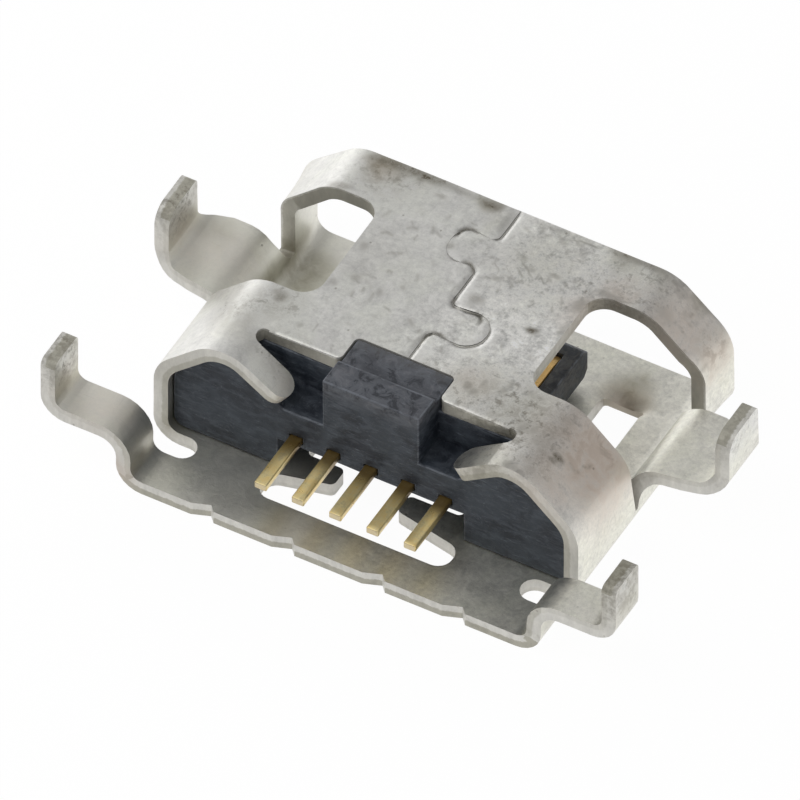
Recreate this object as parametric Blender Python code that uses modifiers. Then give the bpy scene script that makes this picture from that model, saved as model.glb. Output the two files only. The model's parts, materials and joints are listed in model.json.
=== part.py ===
"""Micro USB socket: folded sheet shell, one moulding and five contacts.

The part lies on its wide plate. X runs along the row of contacts, Y runs
from the solder tails toward the mouth, Z is up. Sizes along Y are measured
from the rear end of the shell tube, and every object is then moved back by
ORIGIN_Y, so that the origin is the middle of the underside. Values are
written in millimetres and turned into metres by MM.
"""

import math

import bmesh
import bpy

MM = 0.001

# Shell tube, outside sizes of the folded sheet.
SHEET_T = 0.25 * MM
SHELL_HALF_W = 3.70 * MM
SHELL_H = 2.44 * MM
SLOPE_W = 0.93 * MM
SLOPE_H = 0.88 * MM
MOUTH_Y = 4.79 * MM
FLARE = 0.065 * MM
FLARE_L = 0.69 * MM
FLARE_STEPS = 3

# Inner radii of the bends: along the wide plate, and round the slopes.
BASE_BEND_R = 0.20 * MM
REAR_BEND_R = 0.50 * MM
MOUTH_BEND_R = 0.50 * MM

# Wide plate behind the tube, and the relief slots beside it.
TAIL_PLATE_L = 1.18 * MM
RELIEF_W = 0.46 * MM
RELIEF_DEPTH = 0.41 * MM

# Lock fingers bent down at the rear of the top. Bend radius at mid sheet.
FINGER_W = 0.53 * MM
FINGER_SETBACK = 0.22 * MM
FINGER_ROOT = 0.32 * MM
FINGER_REACH = 0.95 * MM
FINGER_SLOT_END = 0.08 * MM
FINGER_SLOT_OVER = 0.012 * MM
FINGER_BEND_R = 0.50 * MM
FINGER_ANGLE = math.radians(34.0)
FINGER_TIP_R = 0.24 * MM

# Side windows, cut through the walls, the slopes and part of the top.
WINDOW_FROM_BODY = 0.21 * MM
WINDOW_FOOT_SLANT = 0.14 * MM
WINDOW_INTO_TOP = 0.92 * MM
MOUTH_BAND_TOP = 0.93 * MM
MOUTH_BAND_SLOPE = 0.90 * MM
MOUTH_BAND_WALL = 0.80 * MM
WINDOW_REAR_R = 0.36 * MM
WINDOW_FRONT_R = 0.34 * MM

# Board lugs: riser, flat land, upturned tip. Bend radii at mid sheet.
LUG_LAND_Z = 1.155 * MM
LUG_REACH = 1.31 * MM
LUG_TIP_RISE = 0.925 * MM
LUG_RISER_R = 0.42 * MM
LUG_TIP_BEND_R = 0.30 * MM
LUG_NEAR_GAP = 0.06 * MM
LUG_FAR_GAP = 0.14 * MM
LUG_TIP_W = 0.90 * MM
LUG_TIP_SHIFT = -0.025 * MM
REAR_LUG_NEAR_CORNER_R = 0.12 * MM
FRONT_LUG_NEAR_CORNER_R = 0.30 * MM
LUG_FAR_CORNER_R = 0.08 * MM

# How a front lug narrows: share of its length, share of the way from base to tip width.
LUG_NEAR_TAPER = ((0.0, 0.0), (0.11, 0.19), (0.23, 0.39), (0.42, 0.52), (0.55, 0.69), (0.67, 1.0))
LUG_FAR_TAPER = ((0.0, 0.0), (0.08, 0.33), (0.17, 0.51), (0.30, 0.44), (0.44, 0.44),
                 (0.55, 0.61), (0.67, 0.91), (0.74, 1.0))

# Openings in the wide plate: tail slot, neck, inner hole, latch holes.
SLOT_SIDE = 0.255 * MM
SLOT_W = 0.49 * MM
SLOT_SETBACK = 0.04 * MM
SLOT_END_FLAT = 0.005 * MM
NECK_LEFT_X = -0.67 * MM
NECK_RIGHT_X = 0.43 * MM
NECK_REAR_Y = 0.20 * MM
NECK_L = 0.37 * MM
INNER_HOLE_INSET = 0.055 * MM
INNER_HOLE_L = 0.53 * MM
PLATE_HOLE_R = 0.10 * MM
LATCH_FROM_WALL = 1.00 * MM
LATCH_W = 0.70 * MM
LATCH_FROM_MOUTH = 0.91 * MM
LATCH_L = 1.10 * MM
LATCH_R = 0.06 * MM

# Saw-tooth notches where the sheet was sheared from its carrier strip.
SHEAR_NOTCH_XS = (-2.40 * MM, -0.99 * MM, 0.585 * MM, 1.98 * MM)
SHEAR_NOTCH_LONG = 0.30 * MM
SHEAR_NOTCH_SHORT = 0.10 * MM
SHEAR_NOTCH_DEPTH = 0.11 * MM

# Dovetail seam in the middle of the top: one tab to the right, one to the left.
# A round of 1 would make a tab's end a half circle.
SEAM_X = 0.03 * MM
SEAM_REAR_TAB_FROM_NOTCH = 0.65 * MM
SEAM_REAR_TAB_W = 0.82 * MM
SEAM_REAR_TAB_L = 0.63 * MM
SEAM_FRONT_TAB_FROM_MOUTH = 0.74 * MM
SEAM_FRONT_TAB_W = 0.64 * MM
SEAM_FRONT_TAB_L = 0.60 * MM
SEAM_ROOT_R = 0.12 * MM
SEAM_FLANK = 0.08 * MM
SEAM_REAR_ROUND = 0.86
SEAM_FRONT_ROUND = 0.74
SEAM_GAP = 0.014 * MM
SEAM_OPEN_GAP = 0.036 * MM

# Moulding: body, block in the middle with its step, tongue, cuts.
FIT = 0.02 * MM
BODY_REAR_Y = 0.14 * MM
BODY_PAST_BLOCK = 0.19 * MM
BLOCK_HALF_X = 0.84 * MM
BLOCK_INTO_TOP = 0.51 * MM
BLOCK_STEP_BACK = 0.09 * MM
BLOCK_PROUD = 0.10 * MM
BLOCK_SUNK = 0.01 * MM
BLOCK_EDGE = 0.03 * MM
BLOCK_ROOT = 0.30 * MM
NOTCH_CLEAR = 0.025 * MM
NOTCH_R = 0.10 * MM
FINGER_CLEAR = 0.06 * MM
POCKET_OUT = 0.10 * MM
POCKET_LEDGE = 0.01 * MM
TONGUE_TOP_Z = 1.03 * MM
TONGUE_T = 0.60 * MM
TONGUE_SIDE = 0.255 * MM
TONGUE_FROM_MOUTH = 0.81 * MM
TONGUE_CHAMFER = 0.12 * MM
CHANNEL_SIDE = 0.215 * MM
CHANNEL_ROOF = 0.08 * MM
CHANNEL_END_WALL = 0.20 * MM

# Contacts: solder tail, passage through the body, groove on the tongue, dipped end.
CONTACT_COUNT = 5
CONTACT_PITCH = 0.65 * MM
CONTACT_W = 0.21 * MM
CONTACT_T = 0.13 * MM
CONTACT_PROUD = 0.02 * MM
CONTACT_EDGE = 0.018 * MM
CONTACT_EDGE_STEPS = 2
CONTACT_FIT = 0.012 * MM
CONTACT_END_GAP = 0.03 * MM
TAIL_INSET = 0.20 * MM
CONTACT_FROM_TIP = 0.36 * MM
CONTACT_DIP_L = 0.27 * MM
CONTACT_DIP = 0.09 * MM

# How the shapes are meshed.
ARC_STEPS = 6
FINGER_BEND_STEPS = 3
WELD = 1e-7
CUT_OVER = 0.20 * MM

# Places that follow from the sizes above.
TOP_CORNER_X = SHELL_HALF_W - SLOPE_W
WALL_CORNER_Z = SHELL_H - SLOPE_H
BASE_BEND_OUT_R = BASE_BEND_R + SHEET_T
PLATE_EDGE_X = SHELL_HALF_W - BASE_BEND_OUT_R
FLARE_START_Y = MOUTH_Y - FLARE_L
TAIL_PLATE_Y = -TAIL_PLATE_L
RELIEF_Y = -RELIEF_W
ORIGIN_Y = (MOUTH_Y + TAIL_PLATE_Y) / 2.0
TOP_REAR_Y = FINGER_W + FINGER_SETBACK
BLOCK_FRONT_Y = TOP_REAR_Y + BLOCK_INTO_TOP
BLOCK_STEP_Y = TOP_REAR_Y - BLOCK_STEP_BACK
BODY_FRONT_Y = BLOCK_FRONT_Y + BODY_PAST_BLOCK
NOTCH_X = BLOCK_HALF_X + NOTCH_CLEAR
NOTCH_Y = BLOCK_FRONT_Y + NOTCH_CLEAR
WINDOW_X = TOP_CORNER_X - WINDOW_INTO_TOP
WINDOW_REAR_Y = BODY_FRONT_Y + WINDOW_FROM_BODY
WINDOW_FOOT_Y = WINDOW_REAR_Y + WINDOW_FOOT_SLANT
WINDOW_FRONT_Y = MOUTH_Y - MOUTH_BAND_TOP
WINDOW_FRONT_SLOPE_Y = MOUTH_Y - MOUTH_BAND_SLOPE
WINDOW_FRONT_WALL_Y = MOUTH_Y - MOUTH_BAND_WALL
LUG_BASE_NEAR_Y = WINDOW_FOOT_Y + LUG_NEAR_GAP
LUG_BASE_FAR_Y = WINDOW_FRONT_WALL_Y - LUG_FAR_GAP
LUG_TIP_Y = (LUG_BASE_NEAR_Y + LUG_BASE_FAR_Y) / 2.0 + LUG_TIP_SHIFT
LUG_TIP_Z = LUG_LAND_Z + LUG_TIP_RISE
FINGER_BEND_X = TOP_CORNER_X - FINGER_ROOT
FINGER_TIP_X = FINGER_BEND_X - FINGER_REACH
ROW_HALF_X = (CONTACT_COUNT - 1) / 2.0 * CONTACT_PITCH + CONTACT_W / 2.0
CONTACT_TOP_Z = TONGUE_TOP_Z + CONTACT_PROUD
CONTACT_MID_Z = CONTACT_TOP_Z - CONTACT_T / 2.0
TONGUE_TIP_Y = MOUTH_Y - TONGUE_FROM_MOUTH
CONTACT_TIP_Y = TONGUE_TIP_Y - CONTACT_FROM_TIP
CONTACT_DIP_Y = CONTACT_TIP_Y - CONTACT_DIP_L


def clear_scene():
    for obj in list(bpy.data.objects):
        bpy.data.objects.remove(obj, do_unlink=True)
    for mesh in list(bpy.data.meshes):
        bpy.data.meshes.remove(mesh)


def new_collection(name):
    collection = bpy.data.collections.new(name)
    bpy.context.scene.collection.children.link(collection)
    return collection


def make_material(name, colour, metallic, roughness):
    material = bpy.data.materials.new(name)
    material.use_nodes = True
    shader = material.node_tree.nodes["Principled BSDF"]
    shader.inputs["Base Color"].default_value = (*colour, 1.0)
    shader.inputs["Metallic"].default_value = metallic
    shader.inputs["Roughness"].default_value = roughness
    return material


def object_from_bmesh(name, bm, collection):
    """Object with this mesh, moved so that the part's origin is the scene's."""
    mesh = bpy.data.meshes.new(name)
    bm.to_mesh(mesh)
    bm.free()
    obj = bpy.data.objects.new(name, mesh)
    obj.location = (0.0, -ORIGIN_Y, 0.0)
    collection.objects.link(obj)
    return obj


def add_boolean(obj, tool, operation):
    modifier = obj.modifiers.new(tool.name, "BOOLEAN")
    modifier.operation = operation
    modifier.solver = "EXACT"
    modifier.object = tool
    tool.hide_render = True
    tool.display_type = "WIRE"


def arc_points(cx, cy, radius, start, end, steps):
    points = []
    for i in range(steps + 1):
        angle = start + (end - start) * i / steps
        points.append((cx + radius * math.cos(angle), cy + radius * math.sin(angle)))
    return points


def offset_corner(before, corner, after, offset):
    """Corner of a polyline whose two sides are moved to the left by offset."""
    lines = []
    for start, end in ((before, corner), (corner, after)):
        dx = end[0] - start[0]
        dy = end[1] - start[1]
        length = math.hypot(dx, dy)
        lines.append((start[0] - dy / length * offset, start[1] + dx / length * offset, dx, dy))
    x1, y1, dx1, dy1 = lines[0]
    x2, y2, dx2, dy2 = lines[1]
    part = ((x2 - x1) * dy2 - (y2 - y1) * dx2) / (dx1 * dy2 - dy1 * dx2)
    return (x1 + dx1 * part, y1 + dy1 * part)


def fillet(before, corner, after, radius, steps=ARC_STEPS):
    """Arc points that round one corner of a polyline."""
    ax, ay = before[0] - corner[0], before[1] - corner[1]
    bx, by = after[0] - corner[0], after[1] - corner[1]
    length_a = math.hypot(ax, ay)
    length_b = math.hypot(bx, by)
    ax, ay, bx, by = ax / length_a, ay / length_a, bx / length_b, by / length_b
    half_angle = math.acos(max(-1.0, min(1.0, ax * bx + ay * by))) / 2.0
    tangent = radius / math.tan(half_angle)
    middle_x, middle_y = ax + bx, ay + by
    reach = radius / math.sin(half_angle) / math.hypot(middle_x, middle_y)
    cx = corner[0] + middle_x * reach
    cy = corner[1] + middle_y * reach
    start = math.atan2(corner[1] + ay * tangent - cy, corner[0] + ax * tangent - cx)
    end = math.atan2(corner[1] + by * tangent - cy, corner[0] + bx * tangent - cx)
    turn = (end - start + math.pi) % (2.0 * math.pi) - math.pi
    return arc_points(cx, cy, radius, start, start + turn, steps)


def rounded_outline(corners):
    """Closed outline from (x, y, radius) corners."""
    points = []
    count = len(corners)
    for i, corner in enumerate(corners):
        before = corners[i - 1]
        after = corners[(i + 1) % count]
        points.extend(fillet(before[:2], corner[:2], after[:2], corner[2]))
    return points


def add_strip(bm, rows):
    grid = [[bm.verts.new(point) for point in row] for row in rows]
    for near, far in zip(grid[:-1], grid[1:]):
        for i in range(len(near) - 1):
            bm.faces.new((near[i], near[i + 1], far[i + 1], far[i]))


def add_plate(bm, outline, z):
    bm.faces.new([bm.verts.new((x, y, z)) for x, y in outline])


def add_prism(bm, outline, low, high, axis):
    """Closed prism: outline in the plane across the axis, from low to high."""
    def place(point, along):
        a, b = point
        if axis == "Z":
            return (a, b, along)
        if axis == "Y":
            return (a, along, b)
        return (along, a, b)

    bottom = [bm.verts.new(place(point, low)) for point in outline]
    top = [bm.verts.new(place(point, high)) for point in outline]
    faces = [bm.faces.new(bottom), bm.faces.new(list(reversed(top)))]
    count = len(outline)
    for i in range(count):
        j = (i + 1) % count
        faces.append(bm.faces.new((bottom[i], top[i], top[j], bottom[j])))
    bmesh.ops.recalc_face_normals(bm, faces=faces)


def prism_object(name, outlines, low, high, axis, collection):
    bm = bmesh.new()
    for outline in outlines:
        add_prism(bm, outline, low, high, axis)
    return object_from_bmesh(name, bm, collection)


def base_bend(depth, flare):
    """Bend from the wide plate up into the wall or a lug, at a depth under the outer skin."""
    points = arc_points(PLATE_EDGE_X, BASE_BEND_OUT_R, BASE_BEND_OUT_R - depth,
                        -math.pi / 2.0, 0.0, ARC_STEPS)
    return [(x + flare * i / ARC_STEPS, z) for i, (x, z) in enumerate(points)]


def side_section(depth, flare, inner_r):
    """Half section of the tube from the wall's foot to the flat top."""
    wall_x = SHELL_HALF_W + flare
    foot = (wall_x, BASE_BEND_OUT_R)
    low = (wall_x, WALL_CORNER_Z)
    high = (TOP_CORNER_X, SHELL_H)
    centre = (0.0, SHELL_H)
    low_in = offset_corner(foot, low, high, depth)
    high_in = offset_corner(low, high, centre, depth)
    foot_in = (wall_x - depth, BASE_BEND_OUT_R)
    centre_in = (0.0, SHELL_H - depth)
    radius = inner_r + SHEET_T - depth
    points = [foot_in]
    points.extend(fillet(foot_in, low_in, high_in, radius))
    points.extend(fillet(low_in, high_in, centre_in, radius))
    return points


def flare_stations():
    """Y, flare and bend radius of the sections toward the mouth."""
    stations = []
    for i in range(FLARE_STEPS + 1):
        part = i / FLARE_STEPS
        inner_r = REAR_BEND_R + (MOUTH_BEND_R - REAR_BEND_R) * part
        stations.append((FLARE_START_Y + FLARE_L * part, FLARE * part * part, inner_r))
    return stations


def base_bend_rows():
    """Rows of the bend between the wide plate and the wall, rear to mouth."""
    half = SHEET_T / 2.0
    rows = []
    for y in (0.0, FINGER_W, TOP_REAR_Y, WINDOW_FOOT_Y, LUG_BASE_NEAR_Y,
              LUG_BASE_FAR_Y, WINDOW_FRONT_WALL_Y):
        rows.append([(x, y, z) for x, z in base_bend(half, 0.0)])
    for y, flare, _ in flare_stations():
        rows.append([(x, y, z) for x, z in base_bend(half, flare)])
    return rows


def window_front_y(index):
    """Y of the window's front edge at a point of side_section, counted from the foot."""
    if index <= 1:
        return WINDOW_FRONT_WALL_Y
    if index <= ARC_STEPS + 1:
        part = (index - 1) / ARC_STEPS
        return WINDOW_FRONT_WALL_Y + (WINDOW_FRONT_SLOPE_Y - WINDOW_FRONT_WALL_Y) * part
    part = (index - ARC_STEPS - 2) / ARC_STEPS
    return WINDOW_FRONT_SLOPE_Y + (WINDOW_FRONT_Y - WINDOW_FRONT_SLOPE_Y) * part


def side_rows():
    """Rows of the wall and slope, behind the window and in front of it."""
    half = SHEET_T / 2.0
    plain = side_section(half, 0.0, REAR_BEND_R)
    rear = []
    for y in (0.0, FINGER_W, TOP_REAR_Y):
        rear.append([(x, y, z) for x, z in plain])
    foot_x, foot_z = plain[0]
    rear.append([(foot_x, WINDOW_FOOT_Y, foot_z)]
                + [(x, WINDOW_REAR_Y, z) for x, z in plain[1:]])
    front = [[(x, window_front_y(i), z) for i, (x, z) in enumerate(plain)]]
    for y, flare, inner_r in flare_stations():
        front.append([(x, y, z) for x, z in side_section(half, flare, inner_r)])
    return rear, front


def corner_inset(mark, length, radius):
    """How far a rounded end corner draws an edge in, at a mark along the length."""
    reach = mark - (length - radius)
    if reach <= 0.0:
        return 0.0
    return radius - math.sqrt(max(radius * radius - reach * reach, 0.0))


def corner_marks(length, radius):
    """Marks along a length that a rounded end corner needs."""
    return [length - radius * (1.0 - math.sin(math.pi / 2.0 * i / ARC_STEPS))
            for i in range(ARC_STEPS + 1)]


def finger_bend():
    """Mid line of a lock finger's bend, from the flat top."""
    mid_z = SHELL_H - SHEET_T / 2.0
    points = []
    for i in range(FINGER_BEND_STEPS + 1):
        angle = FINGER_ANGLE * i / FINGER_BEND_STEPS
        points.append((FINGER_BEND_X - FINGER_BEND_R * math.sin(angle),
                       mid_z - FINGER_BEND_R * (1.0 - math.cos(angle))))
    return points


def finger_line_z(x):
    """Height of the finger's straight mid line, also past its tip."""
    start_x, start_z = finger_bend()[-1]
    return start_z - (start_x - x) * math.tan(FINGER_ANGLE)


def add_finger(bm, corner_x):
    """Finger and the strip that joins it to the top. Returns the top's edge in front of it."""
    mid_z = SHELL_H - SHEET_T / 2.0
    bend = finger_bend()
    start_x = bend[-1][0]
    length = (start_x - FINGER_TIP_X) / math.cos(FINGER_ANGLE)
    near = [(corner_x, 0.0, mid_z)] + [(x, 0.0, z) for x, z in bend]
    far = [(corner_x, FINGER_W, mid_z)] + [(x, FINGER_W, z) for x, z in bend]
    root = list(far)
    for mark in corner_marks(length, FINGER_TIP_R):
        x = start_x - mark * math.cos(FINGER_ANGLE)
        inset = corner_inset(mark, length, FINGER_TIP_R)
        near.append((x, inset, finger_line_z(x)))
        far.append((x, FINGER_W - inset, finger_line_z(x)))
    add_strip(bm, [near, far])
    edge = [(x, TOP_REAR_Y, mid_z) for x, _, _ in root]
    for i in range(len(root) - 1):
        a = bm.verts.new(root[i])
        b = bm.verts.new(root[i + 1])
        c = bm.verts.new(edge[i + 1])
        d = bm.verts.new(edge[i])
        bm.faces.new((a, b, c))
        bm.faces.new((a, c, d))
    return [(x, y) for x, y, _ in edge]


def finger_slot_outline(side):
    """Round end of the slot between a finger and the top, a little wider than the slot."""
    near = FINGER_W - FINGER_SLOT_OVER
    far = TOP_REAR_Y + FINGER_SLOT_OVER
    slot_x = finger_bend()[-1][0]
    inner = slot_x - FINGER_SLOT_END
    outer = slot_x + FINGER_SLOT_END
    end_r = 0.9 * (far - near) / 2.0
    return rounded_outline([
        (side * inner, near, FINGER_SLOT_OVER), (side * outer, near, end_r),
        (side * outer, far, end_r), (side * inner, far, FINGER_SLOT_OVER),
    ])


def lug_mid_line(corner_r):
    """Mid line of a lug from the end of the base bend to the end of the tip."""
    half = SHEET_T / 2.0
    riser_x = SHELL_HALF_W - half
    land_z = LUG_LAND_Z - half
    riser_r = min(LUG_RISER_R, land_z - BASE_BEND_OUT_R)
    tip_x = SHELL_HALF_W + LUG_REACH - half
    tip_turn_x = tip_x - LUG_TIP_BEND_R
    points = [(riser_x, BASE_BEND_OUT_R)]
    points.extend(arc_points(riser_x + riser_r, land_z - riser_r, riser_r,
                             math.pi, math.pi / 2.0, ARC_STEPS))
    points.append(((riser_x + riser_r + tip_turn_x) / 2.0, land_z))
    points.extend(arc_points(tip_turn_x, land_z + LUG_TIP_BEND_R, LUG_TIP_BEND_R,
                             -math.pi / 2.0, 0.0, ARC_STEPS))
    points.extend((tip_x, z) for z in corner_marks(LUG_TIP_Z, corner_r))
    return points


def developed_lengths(points):
    lengths = [0.0]
    for a, b in zip(points[:-1], points[1:]):
        lengths.append(lengths[-1] + math.hypot(b[0] - a[0], b[1] - a[1]))
    return lengths


def interpolate(table, mark):
    for (mark_a, value_a), (mark_b, value_b) in zip(table[:-1], table[1:]):
        if mark <= mark_b:
            return value_a + (value_b - value_a) * (mark - mark_a) / (mark_b - mark_a)
    return table[-1][1]


def add_lug(bm, near_y, far_y, near_r):
    """Lug between two edges, each a function of the share of its length."""
    points = lug_mid_line(max(near_r, LUG_FAR_CORNER_R))
    lengths = developed_lengths(points)
    total = lengths[-1]
    near = []
    far = []
    for (x, z), mark in zip(points, lengths):
        near.append((x, near_y(mark / total) + corner_inset(mark, total, near_r), z))
        far.append((x, far_y(mark / total) - corner_inset(mark, total, LUG_FAR_CORNER_R), z))
    add_strip(bm, [near, far])


def add_rear_lug(bm):
    bend = base_bend(SHEET_T / 2.0, 0.0)
    add_strip(bm, [[(x, TAIL_PLATE_Y, z) for x, z in bend],
                   [(x, RELIEF_Y, z) for x, z in bend]])
    add_lug(bm, lambda share: TAIL_PLATE_Y, lambda share: RELIEF_Y, REAR_LUG_NEAR_CORNER_R)


def add_front_lug(bm):
    near_run = LUG_TIP_Y - LUG_TIP_W / 2.0 - LUG_BASE_NEAR_Y
    far_run = LUG_TIP_Y + LUG_TIP_W / 2.0 - LUG_BASE_FAR_Y
    add_lug(bm,
            lambda share: LUG_BASE_NEAR_Y + near_run * interpolate(LUG_NEAR_TAPER, share),
            lambda share: LUG_BASE_FAR_Y + far_run * interpolate(LUG_FAR_TAPER, share),
            FRONT_LUG_NEAR_CORNER_R)


def plate_outline():
    """Half outline of the wide plate up to the start of the base bend."""
    relief_r = RELIEF_W / 2.0
    relief_x = PLATE_EDGE_X - RELIEF_DEPTH + relief_r
    outline = [(0.0, TAIL_PLATE_Y), (PLATE_EDGE_X, TAIL_PLATE_Y), (PLATE_EDGE_X, RELIEF_Y)]
    outline.extend(arc_points(relief_x, -relief_r, relief_r,
                              -math.pi / 2.0, -3.0 * math.pi / 2.0, 2 * ARC_STEPS))
    for row in base_bend_rows():
        outline.append(row[0][:2])
    outline.append((0.0, MOUTH_Y))
    return outline


def top_outline(finger_edge, rear, front):
    """Half outline of the flat top, with the block's notch and the window."""
    notch = (NOTCH_X, NOTCH_Y)
    notch_end = (NOTCH_X, TOP_REAR_Y)
    rear_corner = rear[-1][-1][:2]
    window_rear = (WINDOW_X, WINDOW_REAR_Y)
    window_front = (WINDOW_X, WINDOW_FRONT_Y)
    front_corner = front[0][-1][:2]
    outline = [(0.0, NOTCH_Y)]
    outline.extend(fillet((0.0, NOTCH_Y), notch, notch_end, NOTCH_R))
    outline.extend(fillet(notch, notch_end, finger_edge[-1], NOTCH_R))
    outline.extend(reversed(finger_edge))
    outline.append(rear_corner)
    outline.extend(fillet(rear_corner, window_rear, window_front, WINDOW_REAR_R, 2 * ARC_STEPS))
    outline.extend(fillet(window_rear, window_front, front_corner, WINDOW_FRONT_R, 2 * ARC_STEPS))
    for row in front:
        outline.append(row[-1][:2])
    outline.append((0.0, MOUTH_Y))
    return outline


def shell_mid_surface():
    """Right half of the folded sheet as a surface without thickness."""
    half = SHEET_T / 2.0
    bm = bmesh.new()
    add_plate(bm, plate_outline(), half)
    add_strip(bm, base_bend_rows())
    rear, front = side_rows()
    add_strip(bm, rear)
    add_strip(bm, front)
    finger_edge = add_finger(bm, rear[0][-1][0])
    add_plate(bm, top_outline(finger_edge, rear, front), SHELL_H - half)
    add_rear_lug(bm)
    add_front_lug(bm)
    bmesh.ops.remove_doubles(bm, verts=bm.verts, dist=WELD)
    bmesh.ops.recalc_face_normals(bm, faces=bm.faces)
    return bm


def slot_outline():
    """Tail slot, neck and the wider hole in front of it, as one opening."""
    slot_x = ROW_HALF_X + SLOT_SIDE
    hole_x = ROW_HALF_X - INNER_HOLE_INSET
    slot_front = -SLOT_SETBACK
    slot_rear = slot_front - SLOT_W
    neck_front = NECK_REAR_Y + NECK_L
    hole_front = neck_front + INNER_HOLE_L
    end_r = SLOT_W / 2.0 - SLOT_END_FLAT
    return rounded_outline([
        (-slot_x, slot_rear, end_r),
        (slot_x, slot_rear, end_r),
        (slot_x, slot_front, end_r),
        (NECK_RIGHT_X, NECK_REAR_Y, PLATE_HOLE_R),
        (NECK_RIGHT_X, neck_front, PLATE_HOLE_R),
        (hole_x, neck_front, PLATE_HOLE_R),
        (hole_x, hole_front, PLATE_HOLE_R),
        (-hole_x, hole_front, PLATE_HOLE_R),
        (-hole_x, neck_front, PLATE_HOLE_R),
        (NECK_LEFT_X, neck_front, PLATE_HOLE_R),
        (NECK_LEFT_X, NECK_REAR_Y, PLATE_HOLE_R),
        (-slot_x, slot_front, end_r),
    ])


def latch_outline(side):
    out_x = SHELL_HALF_W - LATCH_FROM_WALL
    front = MOUTH_Y - LATCH_FROM_MOUTH
    corners = [(out_x - LATCH_W, front - LATCH_L), (out_x, front - LATCH_L),
               (out_x, front), (out_x - LATCH_W, front)]
    return rounded_outline([(side * x, y, LATCH_R) for x, y in corners])


def shear_notch_outline(x):
    outside = TAIL_PLATE_Y - CUT_OVER
    deep_x = x + SHEAR_NOTCH_LONG
    end_x = deep_x + SHEAR_NOTCH_SHORT
    return [(x, outside), (x, TAIL_PLATE_Y), (deep_x, TAIL_PLATE_Y + SHEAR_NOTCH_DEPTH),
            (end_x, TAIL_PLATE_Y), (end_x, outside)]


def seam_corners():
    """Corners of the seam from the notch to the mouth: x, y, radius."""
    rear_a = NOTCH_Y + SEAM_REAR_TAB_FROM_NOTCH
    rear_b = rear_a + SEAM_REAR_TAB_L
    front_b = MOUTH_Y - SEAM_FRONT_TAB_FROM_MOUTH
    front_a = front_b - SEAM_FRONT_TAB_L
    right = SEAM_X + SEAM_REAR_TAB_W
    left = SEAM_X - SEAM_FRONT_TAB_W
    rear_r = SEAM_REAR_ROUND * (SEAM_REAR_TAB_L / 2.0 + SEAM_FLANK)
    front_r = SEAM_FRONT_ROUND * (SEAM_FRONT_TAB_L / 2.0 + SEAM_FLANK)
    return [
        (SEAM_X, rear_a, SEAM_ROOT_R),
        (right, rear_a - SEAM_FLANK, rear_r),
        (right, rear_b + SEAM_FLANK, rear_r),
        (SEAM_X, rear_b, SEAM_ROOT_R),
        (SEAM_X, front_a, SEAM_ROOT_R),
        (left, front_a - SEAM_FLANK, front_r),
        (left, front_b + SEAM_FLANK, front_r),
        (SEAM_X, front_b, SEAM_ROOT_R),
    ]


def seam_path():
    """Seam line with half its gap: the root corners and the tabs' far corners stand open."""
    corners = seam_corners()
    path = [(SEAM_X, NOTCH_Y - CUT_OVER, SEAM_GAP / 2.0)]
    ends = [path[0]] + corners + [(SEAM_X, MOUTH_Y + CUT_OVER, 0.0)]
    for i, (x, y, radius) in enumerate(corners):
        arc = fillet(ends[i][:2], (x, y), ends[i + 2][:2], radius)
        for j, point in enumerate(arc):
            open_part = math.sin(math.pi * j / ARC_STEPS)
            gap = SEAM_GAP + (SEAM_OPEN_GAP - SEAM_GAP) * open_part
            path.append((*point, gap / 2.0))
    path.append((SEAM_X, MOUTH_Y + CUT_OVER, SEAM_GAP / 2.0))
    return path


def seam_outline():
    path = seam_path()
    left = []
    right = []
    for i, (x, y, half_gap) in enumerate(path):
        before = path[max(i - 1, 0)]
        after = path[min(i + 1, len(path) - 1)]
        dx = after[0] - before[0]
        dy = after[1] - before[1]
        length = math.hypot(dx, dy)
        left.append((x - dy / length * half_gap, y + dx / length * half_gap))
        right.append((x + dy / length * half_gap, y - dx / length * half_gap))
    return right + list(reversed(left))


def build_shell(material, collection, tools):
    obj = object_from_bmesh("shell", shell_mid_surface(), collection)
    mirror = obj.modifiers.new("halves", "MIRROR")
    mirror.use_axis = (True, False, False)
    mirror.use_mirror_merge = True
    mirror.merge_threshold = WELD * 10.0
    sheet = obj.modifiers.new("sheet", "SOLIDIFY")
    sheet.thickness = SHEET_T
    sheet.offset = 0.0
    sheet.use_even_offset = True
    sheet.use_quality_normals = True
    through_plate = (-CUT_OVER, SHEET_T + CUT_OVER, "Z", tools)
    through_top = (SHELL_H - SHEET_T - CUT_OVER, SHELL_H + CUT_OVER, "Z", tools)
    notches = [shear_notch_outline(x) for x in SHEAR_NOTCH_XS]
    cutters = [
        prism_object("cut_slot", [slot_outline()], *through_plate),
        prism_object("cut_latch_holes", [latch_outline(1.0), latch_outline(-1.0)], *through_plate),
        prism_object("cut_shear_notches", notches, *through_plate),
        prism_object("cut_finger_slots", [finger_slot_outline(1.0), finger_slot_outline(-1.0)],
                     *through_top),
        prism_object("cut_seam", [seam_outline()], *through_top),
    ]
    for cutter in cutters:
        add_boolean(obj, cutter, "DIFFERENCE")
    obj.data.materials.append(material)


def body_outline():
    """Section of the moulding: the inside of the shell less the fit."""
    depth = SHEET_T + FIT
    right = base_bend(depth, 0.0)[:-1]
    right.extend(side_section(depth, 0.0, REAR_BEND_R))
    left = [(-x, z) for x, z in reversed(right)]
    return right + left


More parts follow.
